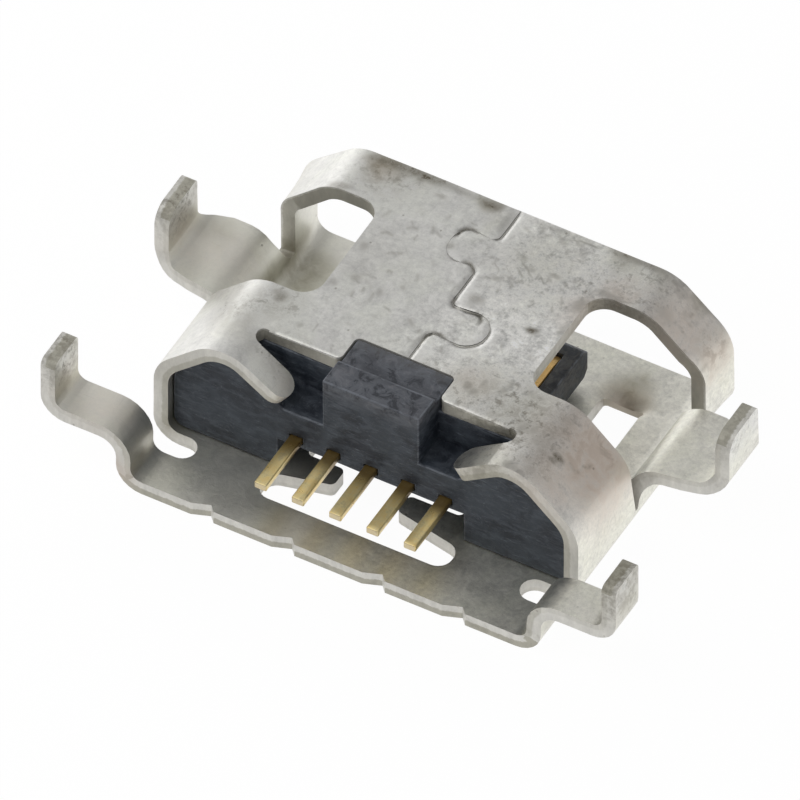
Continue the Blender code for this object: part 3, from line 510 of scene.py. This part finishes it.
def tin_plate():
    g = Graph("tin_plate")
    cloud = g.noise(0.9, 4.0, 0.6, distortion=0.4)
    patch = g.noise(3.6, 5.0, 0.65, distortion=0.6)
    grain = g.noise(13.0, 4.0, 0.65)
    dust = g.noise(45.0, 2.0, 0.5)
    rolled = g.noise(1.0, 3.0, 0.6, g.stretched((1.6, 30.0, 9.0), (0.0, 0.0, 0.5)))
    crossed = g.noise(1.0, 3.0, 0.6, g.stretched((26.0, 2.0, 8.0), (0.0, 0.0, -0.35)))
    high = g.step(g.z, 1.5, 2.3, 0.50, 1.0)
    wear = g.times(g.step(g.add(g.x, cloud), -0.2, 1.4, 0.55, 1.50), high)
    uneven = g.add(g.times(g.add(patch, -0.5), 0.95), g.times(g.add(grain, -0.5), 0.80))
    uneven = g.add(uneven, g.times(g.add(dust, -0.5), 0.30))
    tone = g.add(0.97, g.times(g.add(cloud, -0.5), 0.34))
    tone = g.add(tone, g.times(uneven, wear))
    # Painted shade: the left half of the top is made darker.
    left_top_shade = g.times(g.step(g.x, 0.9, -0.4), g.step(g.z, 2.30, 2.42))
    tone = g.add(tone, g.times(left_top_shade, -0.105))
    scratch = g.add(g.step(rolled, 0.60, 0.76), g.step(crossed, 0.62, 0.78))
    tone = g.add(tone, g.times(scratch, -0.08))
    hue = g.blend(g.step(cloud, 0.42, 0.62), (0.890, 0.882, 0.850), (0.865, 0.864, 0.815))
    colour = g.blend(1.0, hue, g.grey(tone), "MULTIPLY")
    colour = g.blend(g.step(g.z, 1.9, 1.3, 0.0, 1.0), colour, (0.992, 0.984, 0.935), "MULTIPLY")

    # Sheared faces in two tones, a burnished band and a darker torn band; where cut_zone makes the torn band
    # large, it is partly painted shade and painted reflection.
    cut = g.attribute("cut")
    depth = g.attribute("depth")
    wavy = g.add(depth, g.times(g.add(grain, -0.5), 0.30))
    torn_share = g.step(g.math("SUBTRACT", wavy, g.attribute("split")), -0.07, 0.07)
    ragged = g.noise(9.0, 4.0, 0.7, g.stretched((1.0, 1.0, 0.35)))
    cut_tone = g.add(0.72, g.times(ragged, 0.52))
    sheared = g.blend(1.0, (0.80, 0.785, 0.735), g.grey(cut_tone), "MULTIPLY")
    torn = g.blend(1.0, (0.47, 0.452, 0.375), g.grey(cut_tone), "MULTIPLY")
    face = g.blend(g.times(torn_share, g.attribute("olive")), sheared, torn)
    colour = g.blend(cut, colour, face)

    film = g.step(g.add(patch, g.times(grain, 0.4)), 0.50, 0.85, 0.60, 1.0)
    colour = g.blend(g.times(g.attribute("warm"), film), colour, (0.665, 0.575, 0.500))
    # Painted shade with an olive tint, mostly in the fold corners and at the latch holes, together with a
    # dull olive film.
    colour = g.blend(g.times(g.attribute("olive_film_and_shade"), film), colour, (0.27, 0.245, 0.165))

    blotch = g.step(g.add(g.times(patch, 0.6), g.times(grain, 0.4)), 0.44, 0.60)
    fleck = g.step(g.noise(7.5, 5.0, 0.68, distortion=0.2), 0.47, 0.66)
    smear = g.times(g.attribute("grime"), g.math("MAXIMUM", g.times(blotch, 0.70), g.times(fleck, 0.95)))
    stray = g.times(g.times(g.step(cloud, 0.48, 0.64), g.step(patch, 0.50, 0.64)), g.times(wear, 0.22))
    broken = g.step(g.add(g.times(grain, 0.6), g.times(dust, 0.4)), 0.32, 0.60, 0.45, 1.0)
    stain_and_shade = g.math("MAXIMUM", g.times(g.attribute("stain_and_shade"), broken), g.math("MAXIMUM", smear, stray))
    # Dark stains, scuffs and grime, and the painted shade at the right window's edge and corner.
    colour = g.blend(g.times(stain_and_shade, 0.92), colour, (0.180, 0.158, 0.118))

    # Painted shade in the pressed grooves.
    colour = g.blend(g.times(g.attribute("groove_shade"), 0.86), colour, (0.120, 0.108, 0.078))

    gap, tint = g.cells(4.4)
    pit = g.times(g.step(gap, 0.12, 0.05), g.step(tint, 0.70, 0.74))
    colour = g.blend(g.times(pit, 0.50), colour, (0.22, 0.20, 0.165))

    # Painted highlight on the rounded edges and the rolled seam rims, together with the burnish of the
    # sheared edges.
    light = g.math("MAXIMUM", g.times(g.attribute("edge"), 0.60), g.times(g.attribute("ridge_highlight"), 0.55))
    colour = g.blend(light, colour, (0.95, 0.94, 0.91))

    rough = g.add(0.35, g.times(patch, 0.16))
    rough = g.add(rough, g.times(stain_and_shade, 0.16))
    rough = g.add(rough, g.times(cut, 0.10))
    rough = g.add(rough, g.times(light, -0.08))
    metal = g.add(0.97, g.times(cut, -0.45))

    relief = g.add(g.times(grain, 0.30), g.times(patch, 0.9))
    relief = g.add(relief, g.times(scratch, -0.06))
    relief = g.add(relief, g.times(stain_and_shade, -0.5))
    relief = g.add(relief, g.times(pit, -0.6))
    relief = g.add(relief, g.times(g.times(cut, ragged), 1.0))
    normal = g.bump(relief, 0.006 * MM)
    return g.finish(colour, rough, metal, normal)


def blue_black_moulding():
    g = Graph("blue_black_moulding")
    cloud = g.noise(1.7, 4.0, 0.6, distortion=0.5)
    mottle = g.noise(1.0, 5.0, 0.70, g.stretched((3.4, 5.0, 9.0), (0.2, 0.3, 0.4)), 0.6)
    grain = g.noise(32.0, 2.0, 0.5)
    fibre = g.noise(1.0, 2.0, 0.5, g.stretched((5.0, 36.0, 30.0), (0.3, 0.2, 0.7)))
    fibre_b = g.noise(1.0, 2.0, 0.5, g.stretched((34.0, 6.0, 30.0), (-0.4, 0.3, -0.5)))
    speck = g.add(g.step(fibre, 0.62, 0.76), g.step(fibre_b, 0.64, 0.78))
    colour = g.blend(g.step(cloud, 0.36, 0.64), (0.009, 0.014, 0.025), (0.041, 0.053, 0.070))
    colour = g.blend(g.step(mottle, 0.42, 0.66, 0.0, 0.70), colour, (0.090, 0.106, 0.130))
    colour = g.blend(g.times(speck, g.step(mottle, 0.35, 0.65, 0.10, 0.65)), colour, (0.20, 0.225, 0.265))
    colour = g.blend(g.step(grain, 0.60, 0.8, 0.0, 0.40), colour, (0.13, 0.145, 0.17))
    # Painted light: the upper parts of the moulding are made lighter than its sides.
    painted_top_light = g.step(g.add(g.z, g.times(mottle, 0.5)), 2.35, 2.75, 0.0, 0.42)
    colour = g.blend(painted_top_light, colour, (0.19, 0.195, 0.215))
    high = g.step(g.z, 2.30, 2.42)
    patch = g.noise(3.4, 5.0, 0.72, distortion=0.8)
    # Dark blotches on the top, and the painted shadow at the foot of the block's step.
    dark = g.times(g.times(g.step(patch, 0.50, 0.62), high), 0.80)
    dark = g.math("MAXIMUM", dark, g.times(g.attribute("step_shadow"), g.step(mottle, 0.30, 0.55, 0.35, 1.0)))
    colour = g.blend(dark, colour, (0.014, 0.016, 0.024))
    colour = g.blend(g.times(g.step(patch, 0.47, 0.36, 0.0, 0.30), high), colour, (0.26, 0.255, 0.275))
    scuffed = g.times(g.step(g.y, -0.9, -0.4), g.step(patch, 0.42, 0.60, 0.15, 0.60))
    colour = g.blend(scuffed, colour, (0.175, 0.172, 0.160))
    # Lighter rounded edges: wear, and a painted highlight.
    edge_wear_and_highlight = g.times(g.attribute("edge"), g.step(mottle, 0.36, 0.62, 0.05, 0.55))
    colour = g.blend(edge_wear_and_highlight, colour, (0.25, 0.27, 0.31))
    colour = g.blend(g.attribute("shade"), colour, (0.010, 0.012, 0.017))
    rough = g.add(0.46, g.times(mottle, 0.22))
    relief = g.add(g.times(mottle, 1.1), g.times(grain, 0.35))
    relief = g.add(relief, g.times(speck, 0.35))
    normal = g.bump(relief, 0.007 * MM)
    return g.finish(colour, rough, 0.0, normal)


def gold_plate():
    g = Graph("gold_plate")
    patch = g.noise(6.0, 4.0, 0.6)
    grain = g.noise(26.0, 3.0, 0.6)
    drawn = g.noise(1.0, 3.0, 0.6, g.stretched((60.0, 3.0, 60.0)))
    colour = g.blend(g.step(patch, 0.35, 0.7), (1.0, 0.76, 0.31), (1.0, 0.86, 0.46))
    colour = g.blend(g.step(drawn, 0.45, 0.75, 0.0, 0.35), colour, (0.96, 0.88, 0.68))
    along = g.add(g.y, g.times(g.add(patch, -0.5), 0.22))
    # Painted shade: the tails are dark brown where they run next to the moulding.
    body_shade = g.step(along, -2.24, -1.80)
    behind = g.step(along, -1.0, -0.7, 1.0, 0.0)
    colour = g.blend(g.times(g.times(body_shade, behind), 0.88), colour, (0.160, 0.090, 0.016))
    inside = g.step(along, -0.6, 0.2)
    colour = g.blend(inside, colour, (1.0, 0.66, 0.26))
    tip = g.times(g.step(g.y, -2.77, -2.785), g.attribute("cut"))
    colour = g.blend(g.times(tip, 0.6), colour, (0.55, 0.48, 0.38))
    tarnish = g.step(g.add(patch, g.times(grain, 0.6)), 0.80, 1.05)
    colour = g.blend(g.times(tarnish, 0.30), colour, (0.42, 0.29, 0.12))
    rough = g.add(0.22, g.times(patch, 0.16))
    normal = g.bump(g.add(g.times(patch, 0.6), g.times(drawn, 0.5)), 0.004 * MM)
    return g.finish(colour, rough, 0.60, normal)


def path_distance(px, py, points):
    """Distance from the places px, py to a bent line, and the share of its length there."""
    best = np.full(len(px), 1e9)
    share = np.zeros(len(px))
    lengths = [math.dist(start, end) for start, end in zip(points[:-1], points[1:])]
    done = 0.0
    for (ax, ay), (bx, by), length in zip(points[:-1], points[1:], lengths):
        dx, dy = bx - ax, by - ay
        part = np.clip(((px - ax) * dx + (py - ay) * dy) / length ** 2, 0, 1)
        away = np.hypot(px - ax - part * dx, py - ay - part * dy)
        closer = away < best
        best = np.where(closer, away, best)
        share = np.where(closer, (done + part * length) / sum(lengths), share)
        done += length
    return best, share


def drawn_lines(px, py, lines):
    tone = np.zeros(len(px))
    for half_width, strength, points in lines:
        near, along = path_distance(px, py, points)
        taper = 1 - np.abs(2 * along - 1) ** 3
        tone = np.maximum(tone, strength * taper * np.exp(-0.7 * (near / half_width) ** 2))
    return tone


def films(places, zones):
    tone = np.zeros(len(places))
    for zx, zy, zz, radius, strength in zones:
        reach = ((places - np.array((zx, zy, zz))) ** 2).sum(axis=1) / radius ** 2
        tone = np.maximum(tone, strength * np.exp(-0.8 * reach ** 1.5))
    return tone


def small_scuffs(px, py, count):
    """Many short faint scuffs over the top, at seeded random places."""
    chance = random.Random(41)
    tone = np.zeros(len(px))
    for _ in range(count):
        x = chance.uniform(-2.5, 3.4)
        y = chance.uniform(-1.0, 2.95)
        if x < 0.1 and chance.random() < 0.62:
            continue
        turn = chance.uniform(0, math.pi)
        reach = chance.uniform(0.02, 0.09)
        bend = chance.uniform(-0.03, 0.03)
        dx, dy = math.cos(turn) * reach, math.sin(turn) * reach
        points = ((x - dx, y - dy), (x + bend, y - bend), (x + dx, y + dy))
        close = np.nonzero((np.abs(px - x) < 0.25) & (np.abs(py - y) < 0.25))[0]
        near = path_distance(px[close], py[close], points)[0] / chance.uniform(0.012, 0.030)
        tone[close] = np.maximum(tone[close], chance.uniform(0.12, 0.50) * np.exp(-0.7 * near ** 2))
    return tone


def shell_tones(places, outer):
    """Marks, films, painted shade and painted highlights at the places; outer is 1 on the outer skin."""
    x, y, z = places.T
    top = outer * (z > 2.0)
    drift = np.array([flow(Vector(place) * MM, 0.09, 31.0) for place in places])
    wide = np.array([flow(Vector(place) * MM, 0.30, 53.0) for place in places])
    wx = x + 0.022 * drift[:, 0] + 0.035 * wide[:, 0]
    wy = y + 0.022 * drift[:, 1] + 0.035 * wide[:, 1]
    stain_and_shade = np.zeros(len(places))
    for sx, sy, half_x, half_y, tone in SPOTS:
        reach = ((wx - sx) / half_x) ** 2 + ((wy - sy) / half_y) ** 2
        stain_and_shade = np.maximum(stain_and_shade, tone * np.exp(-0.6 * reach ** 1.4))
    nx, ny = x + 0.014 * drift[:, 0], y + 0.014 * drift[:, 1]
    stain_and_shade = np.maximum(stain_and_shade * 0.9, drawn_lines(nx, ny, SCRATCHES))
    stain_and_shade = np.maximum(stain_and_shade, small_scuffs(nx, ny, SCUFF_COUNT))
    stain_and_shade = np.maximum(stain_and_shade, 0.62 * drawn_lines(wx, wy, RIM_STRIPS))
    stain_and_shade *= outer * (z > 1.5)
    groove_shade = drawn_lines(x, y, GROOVES) * top
    shifted = places + 0.12 * wide
    grime = np.maximum(films(places, GRIME), drawn_lines(wx, wy, RIM_STRIPS) * outer * (z > 1.5))
    return {
        "stain_and_shade": stain_and_shade, "grime": grime, "groove_shade": groove_shade, "ridge_highlight": drawn_lines(x, y, RIDGES) * top,
        "warm": films(shifted, WARM_FILMS), "olive_film_and_shade": films(shifted, OLIVE_FILM_AND_SHADE),
    }


def cut_zone(centre, normal):
    """How dark a sheared face is, and at which share of the sheet the torn part begins; the darkness is
    partly the real torn band and partly painted shade and painted reflection.
    """
    x, y, z = centre
    if z < 0.3:
        if y < -2.8:
            return (0.85, 0.52) if abs(normal.x) < 0.4 else (0.05, 0.9)
        # Painted reflection: the far walls of the latch holes are dark all over, as the dark tongue shows in
        # them.
        if y > 1.9 and abs(x) > 1.8 and normal.y < -0.3:
            return (1.0, 0.10)
        return (0.20, 0.72)
    if z > 1.95 and abs(x) > 4.4:
        return (0.85, 0.30)
    if y > 2.9:
        return (0.55, 0.50)
    # Painted shade: the front walls of the windows and the rear edge of the top face away from most of the
    # light and are made mostly dark.
    if 1.2 < y < 2.9 and abs(x) > 1.5 and normal.y < -0.2:
        return (0.72, 0.12)
    if z > 1.9 and abs(y - TOP_REAR_Y) < 0.15 and abs(x) > 0.8:
        return (0.60, 0.16)
    if y < -1.7 and abs(x) < 3.75:
        return (0.55, 0.58)
    return (0.28, 0.62)


def seam_walls(groups):
    """Search trees of the two walls of the seam, and which of them is the right piece's."""
    walls = [
        group for group in groups
        if abs(sum(face.calc_center_median().x for face in group) / len(group)) < 0.4 * MM
        and all(abs(face.normal.z) < 0.2 for face in group)
        and min(face.calc_center_median().z for face in group) > 1.9 * MM
        and len(group) > 20
    ]
    facing = [sum(face.normal.x * face.calc_area() for face in group) for group in walls]
    return [surface_tree(group) for group in walls], int(np.argmin(facing))


def slice_shell(bm, outer_layer, low, high):
    """Cuts the whole sheet coarsely, and the slopes, the top and the latch rims finely."""
    def on_slopes(face):
        return face[outer_layer] > 0.5 and SLOPE_Z * MM < face.calc_center_median().z <= TOP_Z * MM

    def on_top(face):
        return face[outer_layer] > 0.5 and face.calc_center_median().z > TOP_Z * MM

    def near_latch(face):
        x, y, z = face.calc_center_median() / MM
        return 0.1 < z < 0.3 and 1.9 < abs(x) < 2.9 and 2.0 < y < 2.5

    for axis in range(3):
        slice_axis(bm, axis, SHELL_STEP, low, high)
    slice_axis(bm, 1, LATCH_STEP, low, high, near_latch)
    for axis in (0, 1):
        slice_axis(bm, axis, SLOPE_STEP, low, high, on_slopes)
    for axis in (0, 1):
        slice_axis(bm, axis, TOP_STEP, low, high, on_top)


def sheet_depth(bm, outer_tree, inner_tree):
    """Share of the sheet's thickness at each vertex, counted from the punch's side."""
    depth = []
    for vert in bm.verts:
        out = outer_tree.find_nearest(vert.co)[3]
        inn = inner_tree.find_nearest(vert.co)[3]
        share = out / max(out + inn, 1e-9)
        depth.append(1.0 - share if vert.co.z < 0.3 * MM else share)
    return depth


def close_seam(vert, trees, right, on_outer, pressed, rolled):
    """Moves the walls of the seam together and rolls its rims down."""
    near = [tree.find_nearest(vert.co) for tree in trees]
    first, second = sorted(near, key=lambda found: found[3])
    if first[3] < SEAM_REACH * MM:
        gap = (second[0] - first[0]).length
        vert.co += (second[0] - first[0]).normalized() * (gap - SEAM_GAP * MM) / 2
        if vert.co.z > 2.41 * MM:
            vert.co.z = max(vert.co.z, (SEAM_BOTTOM_Z - SEAM_PRESSED * pressed) * MM)
    if on_outer:
        width = ROLL_RIGHT_W * MM if near[right] is first else ROLL_LEFT_W * MM
        vert.co.z -= ROLL_DEPTH * MM * rolled * max(1.0 - first[3] / width, 0.0) ** 2


def shape_sheet(vert, on_outer, pressed):
    """Droop of the fingers, unevenness, grooves, dents, burr and the bent rims of the latch holes."""
    x, y, z = vert.co / MM
    if z > 2.3 and on_outer and 0.78 < abs(x) < 2.02 and y > -1.1:
        share = max(1.0 - max(y - TOP_REAR_Y, 0.0) / TOP_REAR_ROLL_W, 0.0)
        vert.co.z -= TOP_REAR_ROLL * MM * share ** 2
    if y < -1.26 and 0.8 < abs(x) < FINGER_X and z > 1.2:
        reach = (FINGER_X - abs(x)) / FINGER_L
        vert.co.z -= (FINGER_DROOP if x > 0 else FINGER_DROOP_LEFT) * MM * reach ** 2
        vert.co.y -= FINGER_LEAN * MM * reach * min(max((y - FINGER_REAR_Y) / 0.53, 0.0), 1.0)
    share = min(max((z - 0.1) / 0.4, 0.15), 1.0)
    vert.co += flow(vert.co, 1.3, 3.0) * 0.008 * MM * share
    vert.co += flow(vert.co, 0.35, 9.0) * 0.0014 * MM
    if z > 2.2 and on_outer:
        vert.co.z -= GROOVE_DEPTH * MM * pressed
        dent = math.exp(-(((x + 0.35) / 0.22) ** 2 + ((y + 0.05) / 0.16) ** 2))
        dent += 0.6 * math.exp(-(((x - 0.55) / 0.25) ** 2 + ((y - 0.95) / 0.2) ** 2))
        vert.co.z -= 0.014 * MM * dent
        if 1.0 < y < 2.3 and x > 1.4:
            burr = math.exp(-((x - 2.0) / 0.25) ** 2)
            vert.co.z += flow(vert.co, 0.07, 61.0).x * 0.010 * MM * burr
    if 0.1 < z < 0.5 and 1.9 < abs(x) < 2.9 and y > 2.0:
        side = math.exp(-((abs(x) - LATCH_X) / 0.38) ** 4)
        ahead = max(y - LATCH_FRONT_Y, 0.0)
        ramp = LATCH_RAMP * max(1.0 - ahead / LATCH_RAMP_L, 0.0) + 0.02 * math.exp(-ahead / 0.3)
        vert.co.z -= ramp * MM * side * min((z - 0.1) / 0.15, 1.0)


def face_kind(face, layers):
    """0 the outer skin, 1 the inner skin, 2 a sheared face, 3 a rounded edge."""
    if face[layers["edge"]] > 0.5:
        return 3
    if face[layers["cut"]] > 0.5:
        return 2
    return 0 if face[layers["outer"]] > 0.5 else 1


def shell_sheet():
    """The folded sheet with rolled edges, sheared rims, a closed seam and small dents."""
    low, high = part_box("shell")
    bm = clean_copy("shell")
    layers = {name: bm.faces.layers.float.new(name) for name in ("cut", "edge", "outer", "olive", "split")}
    outer_skin, inner_skin, *sheared = smooth_regions(bm)
    outer_tree = surface_tree(outer_skin)
    inner_tree = surface_tree(inner_skin)
    for face in outer_skin:
        face[layers["outer"]] = 1.0
    for group in sheared:
        for face in group:
            face[layers["cut"]] = 1.0
    wall_trees, right_wall = seam_walls(sheared)
    bevel_sharp(bm, SHELL_ROUND, layers["edge"])
    slice_shell(bm, layers["outer"], low, high)
    bm.normal_update()
    for face in bm.faces:
        if face[layers["cut"]] > 0.5:
            olive, split = cut_zone(face.calc_center_median() / MM, face.normal)
            face[layers["olive"]] = olive
            face[layers["split"]] = split

    depth = sheet_depth(bm, outer_tree, inner_tree)
    outer = np.array([
        1.0 if any(face[layers["outer"]] > 0.5 for face in vert.link_faces) else 0.0 for vert in bm.verts
    ])
    places = np.array([vert.co for vert in bm.verts]) / MM
    tones = shell_tones(places, outer)
    x, y, _ = places.T
    pressed = drawn_lines(x, y, GROOVES)
    rolled = 0.12 + 0.88 * np.minimum(drawn_lines(x, y, RIDGES) * 1.3, 1.0)
    for i, vert in enumerate(bm.verts):
        on_outer = outer[i] > 0.5
        if len(wall_trees) == 2 and vert.co.z > 2.1 * MM:
            close_seam(vert, wall_trees, right_wall, on_outer, pressed[i], rolled[i])
        shape_sheet(vert, on_outer, pressed[i])
        hold_inside(vert, low, high)

    kinds = np.array([face_kind(face, layers) for face in bm.faces])
    obj = make_object(bm, "shell_sheet", tin_plate(), "shell", kinds)
    write_points(obj.data, "depth", depth)
    for name, values in tones.items():
        write_points(obj.data, name, values)


def housing_moulding():
    """The moulding with rounded edges, a slightly uneven skin and a painted shadow along the step on its
    block.
    """
    low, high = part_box("housing")
    bm = clean_copy("housing")
    edge = bm.faces.layers.float.new("edge")
    bevel_sharp(bm, HOUSING_ROUND, edge)
    for axis in range(3):
        slice_axis(bm, axis, MOULDING_STEP, low, high)
    shade = []
    for vert in bm.verts:
        vert.co += flow(vert.co, 0.8, 7.0) * 0.007 * MM
        vert.co += flow(vert.co, 0.25, 17.0) * 0.0025 * MM
        hold_inside(vert, low, high)
        x, y, z = vert.co / MM
        pocket = 1.2 < z < 2.2 and 0.84 < abs(x) < 2.3 and y < -1.0
        shade.append(0.05 * min(max((y + 1.70) / 0.30, 0.0), 1.0) if pocket else 0.0)
    x, y, z = (np.array([vert.co for vert in bm.verts]) / MM).T
    step_shadow = drawn_lines(x, y, BLOCK_STEP_SHADOW) * (z > 2.3)
    obj = make_object(bm, "housing_moulding", blue_black_moulding(), "housing")
    write_points(obj.data, "step_shadow", step_shadow)
    write_points(obj.data, "shade", shade)


def contact_strip(index, material):
    """One stamped contact, with its sheared ends marked."""
    node = f"contact_{index}"
    low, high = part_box(node)
    bm = clean_copy(node)
    layers = {name: bm.faces.layers.float.new(name) for name in ("cut", "edge")}
    for face in bm.faces:
        if abs(face.normal.y) > 0.8:
            face[layers["cut"]] = 1.0
    bevel_sharp(bm, CONTACT_ROUND, layers["edge"])
    for axis in range(3):
        slice_axis(bm, axis, MOULDING_STEP, low, high)
    for vert in bm.verts:
        vert.co += flow(vert.co, 0.7, 20.0 + index) * 0.004 * MM
        hold_inside(vert, low, high)
    make_object(bm, f"contact_strip_{index}", material, node)


shell_sheet()
housing_moulding()
gold = gold_plate()
for number in range(1, 6):
    contact_strip(number, gold)

view_azimuth = math.radians(AZIMUTH)
view_elevation = math.radians(ELEVATION)
back = Vector((
    math.sin(view_azimuth) * math.cos(view_elevation),
    -math.cos(view_azimuth) * math.cos(view_elevation),
    math.sin(view_elevation),
))
camera_data = bpy.data.cameras.new("photo_view")
camera_data.type = "ORTHO"
camera_data.ortho_scale = VIEW_WIDTH
camera_data.clip_start = 1 * MM
camera_data.clip_end = 1.0
camera = bpy.data.objects.new("photo_view", camera_data)
camera.location = AIM + back * CAMERA_DISTANCE
camera.rotation_mode = "QUATERNION"
camera.rotation_quaternion = (-back).to_track_quat("-Z", "Y")
scene.collection.objects.link(camera)
scene.camera = camera


def white_floor():
    """Plain floor that shows white and keeps a soft shadow."""
    material = bpy.data.materials.new("white_floor")
    material.use_nodes = True
    tree = material.node_tree
    tree.nodes.clear()
    out = tree.nodes.new("ShaderNodeOutputMaterial")
    diffuse = tree.nodes.new("ShaderNodeBsdfDiffuse")
    diffuse.inputs["Color"].default_value = (0.9, 0.9, 0.9, 1)
    glow = tree.nodes.new("ShaderNodeEmission")
    glow.inputs["Strength"].default_value = 1.03
    mixer = tree.nodes.new("ShaderNodeMixShader")
    path = tree.nodes.new("ShaderNodeLightPath")
    seen = tree.nodes.new("ShaderNodeMath")
    seen.operation = "MAXIMUM"
    tree.links.new(path.outputs["Is Camera Ray"], seen.inputs[0])
    tree.links.new(path.outputs["Is Glossy Ray"], seen.inputs[1])
    share = tree.nodes.new("ShaderNodeMath")
    share.operation = "MULTIPLY"
    share.inputs[1].default_value = 0.93
    tree.links.new(seen.outputs[0], share.inputs[0])
    tree.links.new(share.outputs[0], mixer.inputs[0])
    tree.links.new(diffuse.outputs[0], mixer.inputs[1])
    tree.links.new(glow.outputs[0], mixer.inputs[2])
    tree.links.new(mixer.outputs[0], out.inputs["Surface"])
    return material


half = 400 * MM
corners = [(-half, -half, 0), (half, -half, 0), (half, half, 0), (-half, half, 0)]
floor_mesh = bpy.data.meshes.new("floor")
floor_mesh.from_pydata(corners, [], [(0, 1, 2, 3)])
floor_mesh.materials.append(white_floor())
floor = bpy.data.objects.new("floor", floor_mesh)
floor.location.z = -0.002 * MM
scene.collection.objects.link(floor)

world = bpy.data.worlds.new("studio")
scene.world = world
world.use_nodes = True
tree = world.node_tree
tree.nodes.clear()
out = tree.nodes.new("ShaderNodeOutputWorld")
ambient = tree.nodes.new("ShaderNodeBackground")
ambient.inputs["Strength"].default_value = 0.47
backdrop = tree.nodes.new("ShaderNodeBackground")
backdrop.inputs["Color"].default_value = (1, 1, 1, 1)
mixer = tree.nodes.new("ShaderNodeMixShader")
path = tree.nodes.new("ShaderNodeLightPath")
tree.links.new(path.outputs["Is Camera Ray"], mixer.inputs[0])
tree.links.new(ambient.outputs[0], mixer.inputs[1])
tree.links.new(backdrop.outputs[0], mixer.inputs[2])
tree.links.new(mixer.outputs[0], out.inputs["Surface"])


def area_lamp(name, direction, size, power):
    """A square lamp that faces the origin."""
    lamp = bpy.data.lights.new(name, "AREA")
    lamp.shape = "RECTANGLE"
    lamp.size = lamp.size_y = size * MM
    lamp.energy = power
    obj = bpy.data.objects.new(name, lamp)
    unit = Vector(direction).normalized()
    obj.location = unit * LAMP_DISTANCE
    obj.rotation_mode = "QUATERNION"
    obj.rotation_quaternion = (-unit).to_track_quat("-Z", "Y")
    scene.collection.objects.link(obj)


area_lamp("key", (-0.8, 0.6, 0.18), 50, 0.0075)
area_lamp("side", (0.7, 0.6, 0.31), 60, 0.0018)
area_lamp("high", (-0.33, -0.38, 0.90), 50, 0.008)
area_lamp("front", (-0.40, 0.55, 0.80), 40, 0.0012)

scene.view_settings.view_transform = "Standard"
